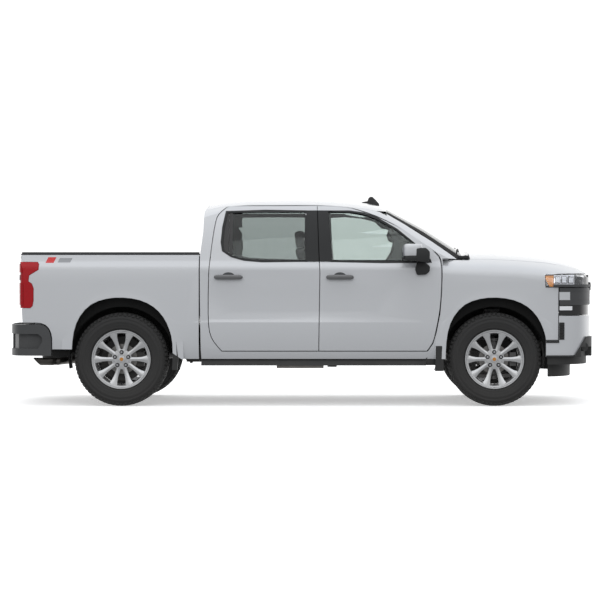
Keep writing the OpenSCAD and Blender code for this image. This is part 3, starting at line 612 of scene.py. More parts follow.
def hang_lamps(scene):
    """Two wide lamps, above and beside the truck."""
    for name, place, size, energy in (
            ("overhead", (0, -1.0, 7.5), (9, 4), 90), ("side_fill", (-1.0, -9.0, 4.5), (10, 2.5), 215)):
        lamp = bpy.data.lights.new(name, "AREA")
        lamp.shape = "RECTANGLE"
        lamp.size, lamp.size_y = size
        lamp.energy = energy
        holder = bpy.data.objects.new(name, lamp)
        holder.location = place
        holder.rotation_mode = "QUATERNION"
        holder.rotation_quaternion = (Vector(place) - Vector((0, 0, 0.9))).to_track_quat("Z", "Y")
        holder.visible_glossy = False
        scene.collection.objects.link(holder)


class TRUCK_OT_stage(bpy.types.Operator):
    """Camera, pale floor and soft studio light"""

    bl_idname = "truck.stage"
    bl_label = "Stage"

    def execute(self, context):
        for make in (set_camera, lay_floor, light_world, hang_lamps):
            make(context.scene)
        return {"FINISHED"}


# ---- CAD panels ----

# Finish, rounding of the edges (None: the panel edge of the settings) and nodes that take them.
DRESSES = (
    (paint, None, "cab_sides cab_back roof_panel front_fenders hood bed_sides bed_floor tailgate front_bumper"
     " door_front_left door_front_right door_rear_left door_rear_right mirror_left mirror_right"),
    (carpet, 0.002, "cab_floor"),
    (dark_plastic, 0.003, "cowl front_valance rocker_trims bed_rail_caps fuel_tank"),
    (underseal, 0, "wheel_liners"),
    (grey_plastic, 0.006, "rear_bumper"),
    (gloss_black, 0.002, "grille antenna"),
    (chassis_black, 0.004, "ladder_frame rear_axle"),
    (cast_grey, 0.004, "front_suspension engine_block driveline knuckle_left knuckle_right"),
    (exhaust_steel, 0, "exhaust"),
    (cabin_plastic, 0.01, "dashboard"),
    (leather, 0.003, "steering_wheel"),
    (red_lens, 0.005, "tail_lights"),
    (clear_cover, 0.003, "headlights"),
    (screen_glass, 0, "cab_glass"),
    (front_glass, 0, "glass_front_left glass_front_right"),
    (glass, 0, "glass_rear_left glass_rear_right"),
    (rubber, 0, "spare_tyre tyre_front_left tyre_front_right tyre_rear_left tyre_rear_right"),
    (alloy, 0.002, "rim_front_left rim_front_right rim_rear_left rim_rear_right"),
    (seat_cloth, 0.02, "front_seats rear_seat"))


class TRUCK_OT_panels(bpy.types.Operator):
    """Paint, plastic and metal of the carried-over panels and chassis"""

    bl_idname = "truck.panels"
    bl_label = "Panels and chassis"

    def execute(self, context):
        for material, edge, nodes in DRESSES:
            for node in nodes.split():
                dress(node, material(), edge)
        dress_where("bed_floor", underseal(), lambda c, n: n.z < -0.5 or (
            abs(c.y) > 0.66 and abs(c.x - REAR_X) < 0.52 and c.z < 1.056 and n.z < 0.5))
        dress_where("bed_sides", underseal(), lambda c, n: abs(c.y) > 0.88 and c.z < 1.1 and n.y * c.y < -0.4)
        dress_where("front_fenders", underseal(), lambda c, n: c.z < 1.3 and n.y * c.y < -0.4)
        dress_where("cab_floor", underseal(), lambda c, n: n.z < -0.3 or (c.x > 1.3 and n.x > 0.3))
        # Cab sides above the belt: interior faces take the cabin plastic as real trim, and the B-pillar faces
        # between x 0.05 and 0.35 are made black as painted shade for the seam between the doors.
        dress_where("cab_sides", cabin_plastic(), lambda c, n: c.z > 1.36 and (
            0.05 < c.x < 0.35 and c.z < 1.875 or n.y * c.y < -0.2 or n.z < -0.5))
        dress_where("cab_back", cabin_plastic(), lambda c, n: n.x > 0.5)
        dress_where("roof_panel", headliner(), lambda c, n: n.z < -0.5)
        for end in ("front", "rear"):
            for side, way in SIDES.items():
                # Door frame faces above the belt that don't face outward take the cabin plastic: the inner faces
                # are real trim, and the door edges at the seams are made dark as painted shade.
                dress_where(f"door_{end}_{side}", cabin_plastic(),
                            lambda c, n: c.z > 1.376 and n.y * way < 0.6)
        return {"FINISHED"}


# ---- Wheels ----

def wheel_matrix(end, side):
    """Takes a wheel made round Z, with its outer face up, to its place on the truck."""
    x = FRONT_X if end == "front" else REAR_X
    return (Matrix.Translation((x, SIDES[side] * WHEEL_Y, AXLE_Z))
            @ Matrix.Rotation(math.radians(-90 * SIDES[side]), 4, "X"))


def tyre_mesh():
    half = [(0.284, 0.104), (0.290, 0.118), (0.298, 0.1255), (0.303, 0.1285), (0.309, 0.127), (0.318, 0.130),
            (0.336, 0.1355), (0.346, 0.1345), (0.350, 0.1372), (0.366, 0.1372), (0.370, 0.1345),
            (0.384, 0.1335), (0.388, 0.1355), (0.394, 0.1352), (0.398, 0.1312), (0.410, 0.1265), (0.4205, 0.1195),
            (0.4285, 0.110), (0.4335, 0.098), (0.4362, 0.072), (0.4368, 0.025)]
    profile = half + [(r, -h) for r, h in reversed(half)]
    bm = lathed(profile + [(0.276, -0.098), (0.276, 0.098), half[0]], 96)
    count = settings().tread_blocks
    depth = settings().tread_depth
    for i in range(count):
        for h, width, lead, lean in ((0.0, 0.036, 0.0, 18), (0.043, 0.034, 0.5, -14), (-0.043, 0.034, 0.5, -14),
                                     (0.0875, 0.036, 0.15, 4), (-0.0875, 0.036, 0.15, 4)):
            place = (Matrix.Rotation(math.tau * (i + lead) / count, 4, "Z")
                     @ Matrix.Translation((TYRE_R - 0.0006 - depth / 2 - (0.0022 if abs(h) > 0.08 else 0), 0, h))
                     @ Matrix.Rotation(math.radians(lean), 4, "X")
                     @ Matrix.Diagonal((depth, 0.027, width, 1)))
            bmesh.ops.create_cube(bm, size=1.0, matrix=place)
        for way in (1, -1):
            place = (Matrix.Rotation(math.tau * (i + 0.15) / count, 4, "Z")
                     @ Matrix.Translation((0.4245, 0, way * 0.1170))
                     @ Matrix.Rotation(math.radians(-way * 45), 4, "Y")
                     @ Matrix.Diagonal((0.014, 0.021 + 0.007 * (i % 2), 0.024 + 0.008 * (i % 2), 1)))
            bmesh.ops.create_cube(bm, size=1.0, matrix=place)
    return bm


def spoke_mesh(bm, angle):
    stations = [(0.078, 0.040, 0.046, 0.077), (0.105, 0.037, 0.040, 0.074), (0.140, 0.036, 0.040, 0.077),
                (0.180, 0.041, 0.048, 0.087), (0.215, 0.053, 0.062, 0.098), (0.240, 0.071, 0.078, 0.105),
                (0.258, 0.096, 0.088, 0.108)]
    loops = []
    for r, w, low, top in stations:
        edge = top - 0.010
        loops.append([(r, y, z) for y, z in ((-w / 2, low), (-w / 2, edge), (-w * 0.30, edge + 0.006),
                                             (-w * 0.12, top), (w * 0.12, top), (w * 0.30, edge + 0.006),
                                             (w / 2, edge), (w / 2, low))])
    part = bmesh.new()
    loft(part, loops)
    part.transform(Matrix.Rotation(angle, 4, "Z"))
    merge(bm, part)


def merge(bm, part):
    """Adds one bmesh to another."""
    data = bpy.data.meshes.new("part")
    part.to_mesh(data)
    part.free()
    bm.from_mesh(data)
    bpy.data.meshes.remove(data)


def rim_mesh():
    bm = lathed([(0.281, -0.118), (0.281, -0.104), (0.262, -0.098), (0.249, -0.074), (0.249, 0.040),
                 (0.262, 0.094), (0.281, 0.102), (0.283, 0.114), (0.279, 0.1185), (0.271, 0.1175),
                 (0.264, 0.1085), (0.252, 0.106), (0.247, 0.098), (0.241, 0.060), (0.239, -0.078),
                 (0.250, -0.118), (0.281, -0.118)], 96)
    lathe(bm, [(0, 0.030), (0, 0.0765), (0.044, 0.0765), (0.047, 0.0735), (0.083, 0.0735), (0.094, 0.070),
               (0.097, 0.055), (0.080, 0.030), (0, 0.030)], 72)
    for i in range(settings().spokes):
        spoke_mesh(bm, math.tau * i / settings().spokes)
    return bm


def make_wheel(end, side):
    """Tyre, rim, nuts, cap, valve and brake disc of one wheel."""
    place = wheel_matrix(end, side)
    body = f"wheel_{end}_{side}"
    tyre = piece(f"tread_{end}_{side}", tyre_mesh(), body, "tyre_rubber", rubber(), sharp=50,
                 matrix=place)
    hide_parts(f"tyre_{end}_{side}")
    rim = piece(f"wheel_{end}_{side}", rim_mesh(), body, "rim_alloy", alloy(), sharp=24, matrix=place)
    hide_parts(f"rim_{end}_{side}")
    pockets, nuts = bmesh.new(), bmesh.new()
    for a in NUT_ANGLES:
        x, y = NUT_CIRCLE_R * math.cos(a), NUT_CIRCLE_R * math.sin(a)
        rod(pockets, (x, y, 0.066), (x, y, 0.0746), 0.0205)
        rod(nuts, (x, y, 0.070), (x, y, 0.087), 0.0115, 0.0105, 6)
        rod(nuts, (x, y, 0.087), (x, y, 0.0925), 0.0098, 0.0065, 24)
    for a in (math.radians(196), math.radians(-16)):
        x, y = 0.074 * math.cos(a), 0.074 * math.sin(a)
        rod(nuts, (x, y, 0.070), (x, y, 0.0762), 0.009, 0.008)
    cap = lathed([(0, 0.070), (0, 0.0845), (0.024, 0.0845), (0.032, 0.0825), (0.035, 0.078), (0.035, 0.070),
                  (0, 0.070)], 48)
    core = lathed([(0, 0.083), (0, 0.0862), (0.015, 0.0862), (0.017, 0.0845), (0.017, 0.083), (0, 0.083)], 32)
    piece(f"nut_pockets_{end}_{side}", pockets, body, "gloss_black", gloss_black(), matrix=place)
    piece(f"nuts_{end}_{side}", nuts, body, "rim_alloy", chrome(), matrix=place)
    piece(f"cap_{end}_{side}", cap, body, "rim_alloy", alloy(), matrix=place)
    piece(f"cap_core_{end}_{side}", core, body, "rim_alloy",
          finish("gilt_cap", (0.75, 0.33, 0.08), 0.3, 0.05, 30.0, Metallic=0.8), matrix=place)
    valve = bmesh.new()
    rod(valve, (0, -0.236, 0.060), (0, -0.229, 0.098), 0.005)
    rod(valve, (0, -0.229, 0.098), (0, -0.2275, 0.106), 0.0062)
    piece(f"valve_{end}_{side}", valve, body, "black_plastic", seal_rubber(), matrix=place)
    disc = lathed([(0.050, -0.048), (0.050, 0.030), (0.072, 0.030), (0.078, -0.014), (0.142, -0.014),
                   (0.142, -0.022), (0.100, -0.024), (0.100, -0.032), (0.142, -0.034), (0.142, -0.042),
                   (0.078, -0.044), (0.050, -0.048)], 72)
    piece(f"brake_disc_{end}_{side}", disc, body, "cast_grey", disc_steel(), matrix=place)
    if end == "rear":
        shield = bmesh.new()
        rod(shield, (0, 0, -0.096), (0, 0, -0.092), 0.212, None, 64)
        piece(f"brake_shield_{side}", shield, "body", "frame_black", chassis_black(), matrix=place)


class TRUCK_OT_wheels(bpy.types.Operator):
    """Tyres with tread, spoked rims, nuts, caps, valves and brake discs"""

    bl_idname = "truck.wheels"
    bl_label = "Wheels"

    def execute(self, context):
        for end in ("front", "rear"):
            for side in SIDES:
                make_wheel(end, side)
        return {"FINISHED"}


# ---- Body side trim ----

SIDE_LINE = [(0.527, 0.983), (0.640, 0.996), (0.880, 1.001), (1.220, 0.999), (1.290, 0.996), (1.335, 0.988),
             (1.372, 0.970), (1.420, 0.960), (1.560, 0.933), (1.700, 0.897), (1.830, 0.853), (1.912, 0.811),
             (1.960, 0.786)]


def side_y(z):
    for (z0, y0), (z1, y1) in zip(SIDE_LINE, SIDE_LINE[1:]):
        if z <= z1:
            return y0 + (y1 - y0) * max(z - z0, 0) / (z1 - z0)
    return SIDE_LINE[-1][1]


def grown(outline, by):
    """The outline with each point moved away from its middle."""
    cx = sum(x for x, _ in outline) / len(outline)
    cz = sum(z for _, z in outline) / len(outline)
    moved = []
    for x, z in outline:
        reach = Vector((x - cx, z - cz))
        reach = reach * (1 + by / reach.length)
        moved.append((cx + reach.x, cz + reach.y))
    return moved


def frame_ring(outer, inner, inset, thick):
    """Band between two outlines of equal length in the side view, laid on the body side."""
    bm = bmesh.new()
    loops = [ring(bm, [(x, side_y(z) - inset, z) for x, z in points])[1] for points in (outer, inner)]
    bmesh.ops.bridge_loops(bm, edges=loops[0] + loops[1])
    bmesh.ops.subdivide_edges(bm, edges=bm.edges[:], cuts=2, use_grid_fill=True)
    for v in bm.verts:
        v.co.y = side_y(v.co.z) - inset
    bmesh.ops.recalc_face_normals(bm, faces=bm.faces)
    bmesh.ops.solidify(bm, geom=bm.faces[:], thickness=thick)
    return bm


def skin_patch(node, side, planes, thickness, lift=0.0006, least=0.35, direction=None):
    """Plate cut from a CAD node's outer skin. Each plane is (point, normal) and keeps what lies behind it."""
    bm = cad_copy(node)
    way = SIDES[side]
    keep_facing(bm, direction or (0, way, 0), least)
    for point, normal in planes:
        point = Vector(point)
        normal = Vector(normal).normalized()
        if way < 0:
            point.y, normal.y = -point.y, -normal.y
        bmesh.ops.bisect_plane(bm, geom=bm.verts[:] + bm.edges[:] + bm.faces[:], plane_co=point,
                               plane_no=normal, clear_outer=True)
    bmesh.ops.delete(bm, geom=[f for f in bm.faces if f.calc_center_median().y * way < 0], context="FACES")
    thicken(bm, thickness, lift + thickness)
    return bm


def between(x0, x1, z0, z1):
    return [((x0, 0, 0), (-1, 0, 0)), ((x1, 0, 0), (1, 0, 0)), ((0, 0, z0), (0, 0, -1)), ((0, 0, z1), (0, 0, 1))]


REAR_DLO = [(-0.716, 1.850), (-0.745, 1.700), (-0.757, 1.560), (-0.744, 1.478), (-0.660, 1.424), (-0.540, 1.394),
            (-0.380, 1.382), (-0.100, 1.379), (0.046, 1.378), (0.040, 1.620), (0.038, 1.858), (-0.350, 1.858)]
REAR_VIEW = [(-0.655, 1.838), (-0.662, 1.700), (-0.664, 1.560), (-0.656, 1.478), (-0.600, 1.436), (-0.500, 1.412),
             (-0.360, 1.402), (-0.100, 1.396), (0.038, 1.394), (0.035, 1.620), (0.032, 1.840), (-0.350, 1.842)]
FRONT_DLO = [(0.246, 1.858), (0.264, 1.600), (0.286, 1.378), (0.760, 1.374), (1.226, 1.370), (1.215, 1.402),
             (1.062, 1.556), (0.898, 1.684), (0.714, 1.790), (0.600, 1.833), (0.470, 1.855)]
FRONT_VIEW = [(0.276, 1.838), (0.288, 1.600), (0.304, 1.392), (0.560, 1.390), (0.830, 1.390), (0.880, 1.480),
              (0.880, 1.560), (0.820, 1.680), (0.700, 1.772), (0.590, 1.812), (0.450, 1.838)]


def trim_windows(side, way):
    """Bands and mouldings round the windows, pillar covers and quarter light."""
    flip = way < 0
    rear, front = f"door_rear_{side}", f"door_front_{side}"
    for name, body, outer, inner in (("rear", rear, REAR_DLO, REAR_VIEW),
                                     ("front", front, FRONT_DLO, FRONT_VIEW)):
        piece(f"window_band_{name}_{side}", frame_ring(outer, inner, 0.026, 0.004), body,
              "interior_plastic", cabin_plastic(), mirror=flip)
        band = frame_ring(grown(outer, 0.014), grown(outer, -0.010), -0.0030, 0.006)
        trim(f"window_moulding_{name}_{side}", band, body, mirror=flip)
    trim(f"pillar_cover_rear_{side}", skin_patch(rear, side, between(0.044, 0.3, BELT_Z, 1.862), 0.003), rear)
    trim(f"pillar_cover_front_{side}", skin_patch(front, side, between(0.1, 0.290, BELT_Z, 1.862), 0.003),
         front)
    quarter = bmesh.new()
    for x0, x1, out in ((-0.755, -0.694, 0.012), (-0.690, -0.656, 0.008)):
        pts = [(x0, z) for z in (1.44, 1.56, 1.70, 1.846)] + [(x1, z) for z in (1.846, 1.70, 1.56, 1.44)]
        part = bmesh.new()
        verts, _ = ring(part, [(x, side_y(z) - out, z) for x, z in pts])
        part.faces.new(verts)
        bmesh.ops.solidify(part, geom=part.faces[:], thickness=0.005)
        merge(quarter, part)
    piece(f"quarter_light_{side}", quarter, rear, "gloss_black", gloss_black(), mirror=flip)


def trim_doors(side, way):
    """Door cards and handles."""
    flip = way < 0
    for name, x0, x1 in (("rear", -0.83, -0.558), ("front", 0.234, 0.496)):
        body = f"door_{name}_{side}"
        card = cad_copy(body)
        keep_facing(card, (0, -way, 0), 0.8)
        keep_between(card, 2, 0.60, 1.355)
        for v in card.verts:
            v.co.y -= way * 0.004
        bmesh.ops.solidify(card, geom=card.faces[:], thickness=0.003)
        piece(f"door_card_{name}_{side}", card, body, "interior_plastic", cabin_plastic())
        bar, cup = bmesh.new(), bmesh.new()
        mid = (x0 + x1) / 2
        half = (x1 - x0) / 2
        loops = []
        for t in (-1, -0.97, -0.9, -0.75, -0.4, 0, 0.4, 0.75, 0.9, 0.97, 1):
            grow = math.sqrt(max(1 - abs(t) ** 9, 0.12))
            arch = 0.026 * (1 - t * t) ** 0.4
            loops.append([(mid + half * t, 1.006 + arch + 0.011 * grow * math.cos(a),
                           HANDLE_Z + 0.0235 * grow * math.sin(a))
                          for a in [math.tau * k / 16 for k in range(16)]])
        loft(bar, loops)
        for t in (-0.8, 0.8):
            rod(bar, (mid + half * t, 0.985, HANDLE_Z), (mid + half * t, 1.022, HANDLE_Z), 0.016, 0.014)
        piece(f"handle_{name}_{side}", bar, body, "grey_plastic",
              finish("satin_handle", (0.17, 0.172, 0.176), 0.3, 0.08, 20.0, Metallic=0.6, Coat_Weight=0.4),
              sharp=50, mirror=flip)
        bmesh.ops.create_uvsphere(cup, u_segments=40, v_segments=20, radius=1.0, matrix=Matrix.Translation(
            (mid, 0.9915, 1.240)) @ Matrix.Diagonal((0.062, 0.0075, 0.038, 1)))
        piece(f"handle_cup_{name}_{side}", cup, body, "grey_plastic", grey_plastic(), mirror=flip)


def trim_lower(side, way):
    """Splash guards, sill end and the blank stripes near the bed's corner."""
    flip = way < 0
    for name, shape in (("front", [(1.269, 0.335), (1.349, 0.335), (1.349, 0.505), (1.334, 0.573),
                                   (1.276, 0.573)]),
                        ("rear", [(-1.228, 0.345), (-1.180, 0.345), (-1.171, 0.470), (-1.188, 0.610),
                                  (-1.214, 0.610)])):
        guard = bmesh.new()
        loft(guard, [[(x, y, z) for x, z in shape] for y in (0.93, 1.008)])
        trim(f"splash_guard_{name}_{side}", guard, mirror=flip)
    trim(f"sill_end_{side}", soft_box((1.180, 0.800, 0.388), (1.276, 0.944, 0.452), 0.004), mirror=flip)
    for name, make, x0, x1, z0, z1 in (("red", red_film, -2.434, -2.330, 1.362, 1.416),
                                      ("grey", grey_film, -2.318, -2.178, 1.366, 1.408)):
        planes = between(-9, 9, z0, z1)[2:] + [((x0, 0, z0), (-1, 0, 0.5)), ((x1, 0, z1), (1, 0, -0.5))]
        piece(f"stripe_{name}_{side}", skin_patch("bed_sides", side, planes, 0.0005, 0.0002), "body",
              "body_paint", make())


class TRUCK_OT_side_trim(bpy.types.Operator):
    """Pillar covers, window mouldings, door cards, handles and side film"""

    bl_idname = "truck.side_trim"
    bl_label = "Side trim"

    def execute(self, context):
        for side, way in SIDES.items():
            trim_windows(side, way)
            trim_doors(side, way)
            trim_lower(side, way)
        return {"FINISHED"}


def make_mirror(side, way):
    """Painted cap, dark housing, arm and glass of one mirror."""
    body = f"door_front_{side}"
    flip = way < 0

    def shell(z0, z1, x0, x1, y0, y1, round_to=0.5):
        loops = []
        for t in (0, 0.04, 0.15, 0.4, 0.7, 0.88, 0.97, 1):
            grow = (1 - abs(2 * t - 1) ** 5) ** 0.5 * (1 - round_to) + round_to
            cx, cy = (x0 + x1) / 2 + 0.012 * (t - 0.5), (y0 + y1) / 2
            loops.append([(cx + (x1 - x0) / 2 * grow * math.copysign(abs(math.cos(a)) ** 0.6, math.cos(a)),
                           cy + (y1 - y0) / 2 * grow * math.copysign(abs(math.sin(a)) ** 0.6, math.sin(a)),
                           z0 + (z1 - z0) * t)
                          for a in [math.tau * k / 32 for k in range(32)]])
        bm = bmesh.new()
        loft(bm, loops)
        return bm

    cap = shell(1.416, 1.540, 0.960, 1.142, 1.010, 1.204, 0.74)
    housing = bmesh.new()
    loft(housing, [[(x, y, z) for x, z in (
        (1.083, 1.378), (1.186, 1.366), (1.212, 1.398), (1.212, 1.468), (1.176, 1.504), (1.083, 1.498))]
                   for y in (1.004, 1.206)])
    soften(housing, 0.010)
    merge(housing, shell(1.386, 1.434, 0.958, 1.140, 1.006, 1.204, 0.8))
    made = trim(f"mirror_housing_{side}", housing, body, mirror=flip)
    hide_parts(f"mirror_{side}")
    piece(f"mirror_cap_{side}", cap, body, "body_paint", paint(), mirror=flip)
    arm = bmesh.new()
    loft(arm, [[(x, y, z) for x, z in (
        (1.078, 1.300), (1.096, 1.246), (1.184, 1.252), (1.216, 1.282), (1.220, 1.330), (1.190, 1.352),
        (1.160, 1.376), (1.100, 1.376))] for y in (0.978, 1.046)])
    soften(arm, 0.010)
    trim(f"mirror_arm_{side}", arm, body, sharp=50, mirror=flip)
    piece(f"mirror_glass_{side}", soft_box((0.9575, 1.030, 1.412), (0.9635, 1.188, 1.515), 0.002),
          body, "tinted_glass", mirror_glass(), mirror=flip)


class TRUCK_OT_mirrors(bpy.types.Operator):
    """Door mirrors: painted cap, dark housing, arm and glass"""

    bl_idname = "truck.mirrors"
    bl_label = "Mirrors"

    def execute(self, context):
        for side, way in SIDES.items():
            make_mirror(side, way)
        return {"FINISHED"}


# ---- Front and rear ----

def front_side(side, way):
    """Lamp, grille surround, vents and lower corner of one side."""
    flip = way < 0
    out = (0.45, way * 0.89, 0)

    def patch(node, x0, x1, z0, z1, thickness, lift=0.0006, least=0.3, extra=()):
        return skin_patch(node, side, between(x0, x1, z0, z1) + list(extra), thickness, lift, least, out)

    def plate(name, slot, material, *values):
        piece(f"{name}_{side}", patch(*values), "body", slot, material)

    slant = [((2.318, 0, 1.20), (-1, 0, -0.55))]
    plate("lamp_amber", "lamp_clear", amber_lens(), "headlights", 2.316, 2.392, 1.136, 1.236, 0.004, 0.0006,
          0.3, slant)
    plate("lamp_bezel", "lamp_clear", chrome(), "headlights", 2.396, 2.592, 1.158, 1.240, 0.003)
    for i, x in enumerate((2.404, 2.466, 2.528)):
        plate(f"lamp_cell_{i}", "gloss_black", gloss_black(), "headlights", x, x + 0.052, 1.166, 1.231, 0.002,
              0.0035)
        plate(f"lamp_lens_{i}", "lamp_clear", white_lens(), "headlights", x + 0.006, x + 0.046, 1.174, 1.224,
              0.004, 0.0055)
    plate("lamp_cover", "lamp_clear", clear_cover(), "headlights", 2.316, 2.69, 1.134, 1.246, 0.002, 0.013, 0.25)
    plate("lamp_lower_bar", "grey_plastic", grey_plastic(), "headlights", 2.39, 2.78, 1.134, 1.157, 0.014)
    bars = patch("grille", 2.448, 2.79, 1.086, 1.124, 0.005)
    merge(bars, patch("grille", 2.548, 2.79, 1.006, 1.088, 0.005))
    merge(bars, patch("grille", 2.448, 2.79, 0.962, 1.008, 0.005))
    piece(f"grille_surround_{side}", bars, "body", "grey_plastic", grey_plastic())
    plate("grille_notch", "gloss_black", gloss_black(), "grille", 2.62, 2.70, 1.030, 1.062, 0.002, 0.006)
    plate("fender_tip", "body_paint", paint(), "grille", 2.445, 2.546, 1.009, 1.085, 0.007)
    plate("day_lamp", "lamp_clear", white_lens(), "grille", 2.448, 2.568, 0.912, 0.950, 0.006)
    plate("side_vent", "black_plastic", dark_plastic(), "front_bumper", 2.446, 2.496, 0.632, 0.796, 0.002)
    ribs = bmesh.new()
    for i in range(6):
        merge(ribs, patch("front_bumper", 2.450, 2.492, 0.646 + i * 0.025, 0.656 + i * 0.025, 0.005, 0.002))
    piece(f"side_vent_ribs_{side}", ribs, "body", "black_plastic", gloss_black())
    plate("lower_strip", "black_plastic", dark_plastic(), "front_bumper", 2.322, 2.446, 0.602, 0.6235, 0.003)
    corner = [((2.712, 0, 0.662), (-0.62, 0, 0.42)), ((2.6, 0.58, 0), (0, -1, 0))]
    plate("lower_corner", "black_plastic", dark_plastic(), "front_bumper", 2.5, 2.9, 0.468, 0.658, 0.008,
          0.0006, 0.15, corner)
    plate("lower_lip", "black_plastic", dark_plastic(), "front_bumper", 2.322, 2.70, 0.468, 0.484, 0.006)
    hook = bmesh.new()
    bmesh.ops.create_cone(hook, cap_ends=True, segments=32, radius1=0.046, radius2=0.040, depth=0.030,
                          matrix=Matrix.Translation((2.700, 0.842, 0.560))
                          @ Matrix.Rotation(math.radians(58), 4, "Z")
                          @ Matrix.Rotation(math.radians(90), 4, "Y"))
    trim(f"tow_eye_bezel_{side}", hook, mirror=flip)


def front_middle():
    """Slats, bar and plate of the nose."""
    slats = bmesh.new()
    for z in (0.928, 0.984, 1.040, 1.096, 1.220):
        for i in range(-14, 15):
            box(slats, (2.745, i * 0.041 - 0.003, z - 0.040), (2.762, i * 0.041 + 0.003, z))
    piece("grille_slats", slats, "body", "gloss_black", gloss_black())
    piece("grille_bar", soft_box((2.750, -0.600, 1.098), (2.790, 0.600, 1.178), 0.008),
          "body", "grey_plastic", grey_plastic())
    piece("front_plate", soft_box((2.816, -0.1524, 0.625), (2.822, 0.1524, 0.777), 0.003),
          "body", "body_paint", plate_paint())


def screen_trim():
    """Wipers, screen edges and the ends of the cowl."""
    wipers = bmesh.new()
    for y0, y1 in ((0.66, 0.04), (-0.02, -0.64)):
        last = None
        for k in range(9):
            y = y0 + (y1 - y0) * k / 8
            x = 1.526 - 0.02 * k / 8
            z = 1.486 + (1.534 - x) * 0.63 - 0.10 * (abs(y) / 0.62) ** 2 * 0.38 + 0.009
            if last:
                rod(wipers, last, (x, y, z), 0.007)
            last = (x, y, z)
        rod(wipers, (1.548, y0 - 0.02, 1.436), (1.516, (y0 + y1) / 2, 1.496), 0.008, 0.006)
        rod(wipers, (1.548, y0 - 0.02, 1.405), (1.548, y0 - 0.02, 1.440), 0.014)
    trim("wipers", wipers)
    for side, way in SIDES.items():
        edge = [((0.82, 0, 0), (-1, 0, 0)), ((0.82, 0.62, 0), (0.115, -1, 0))]
        strip = skin_patch("cab_glass", side, edge, 0.0008, 0.0003, 0.3, (0.45, way * 0.2, 0.8))
        piece(f"screen_edge_{side}", strip, "body", "gloss_black", underseal())
    screen = bmesh.new()
    for way in (1, -1):
        box(screen, (1.50, way * 0.700, 1.400), (1.60, way * 0.850, 1.432))
    soften(screen, 0.008)
    trim("cowl_ends", screen)


class TRUCK_OT_front(bpy.types.Operator):
    """Lamps, grille surrounds, vents, lower corners, plate and wipers"""

    bl_idname = "truck.front"
    bl_label = "Front end"

    def execute(self, context):
        dress("headlights", gloss_black(), 0.003)
        for side, way in SIDES.items():
            front_side(side, way)
        front_middle()
        screen_trim()
        return {"FINISHED"}


def rear_middle():
    """Handle and cap of the tailgate, ribs of the bed, pads of the bumper and the high lamp."""
    trim("tailgate_handle", soft_box((-2.688, -0.11, 1.312), (-2.672, 0.11, 1.350), 0.006), "tailgate")
    trim("tailgate_cap", soft_box((-2.690, -0.835, 1.437), (-2.628, 0.835, 1.446), 0.004), "tailgate")
    ribs = bmesh.new()
    for i in range(-7, 8):
        box(ribs, (BED_BACK_X + 0.02, i * 0.085 - 0.018, BED_FLOOR_Z - 0.002),
            (-0.985, i * 0.085 + 0.018, BED_FLOOR_Z + 0.005))
    soften(ribs, 0.003)
    piece("bed_ribs", ribs, "body", "body_paint", paint())
    pads = bmesh.new()
    for way in (1, -1):
        box(pads, (-2.775, way * 0.37, 0.775), (-2.680, way * 0.72, 0.780))
        for k in range(8):
            box(pads, (-2.770, way * (0.39 + k * 0.042), 0.779), (-2.685, way * (0.405 + k * 0.042), 0.784))
    piece("bumper_pads", pads, "body", "black_plastic", seal_rubber())
    piece("high_brake_lamp", soft_box((-0.940, -0.16, 1.885), (-0.922, 0.16, 1.905), 0.003),
          "body", "lamp_red", red_lens())


def tail_lamps():
    """Lenses of both tail lights."""
    for side, way in SIDES.items():
        for name, make, slot, z0, z1 in (("upper", red_lens, "lamp_red", 1.270, 1.352),
                                         ("reverse", white_lens, "lamp_clear", 1.196, 1.246),
                                         ("lower", red_lens, "lamp_red", 0.962, 1.172)):
            part = cad_copy("tail_lights")
            if name == "reverse":
                keep_facing(part, (-1, 0, 0), 0.97)
            else:
                keep_facing(part, (-1, way * 0.25, 0), 0.6)
            keep_between(part, 2, z0, z1)
            bmesh.ops.delete(part, geom=[f for f in part.faces if f.calc_center_median().y * way < 0],
                             context="FACES")
            thicken(part, 0.003, 0.004)
            piece(f"tail_{name}_{side}", part, "body", slot, make())


class TRUCK_OT_rear(bpy.types.Operator):
    """Tailgate handle, bed ribs, step pads, lamps and rear trim"""

    bl_idname = "truck.rear"
    bl_label = "Rear end"

    def execute(self, context):
        rear_middle()
        tail_lamps()
        return {"FINISHED"}


# ---- Cabin ----

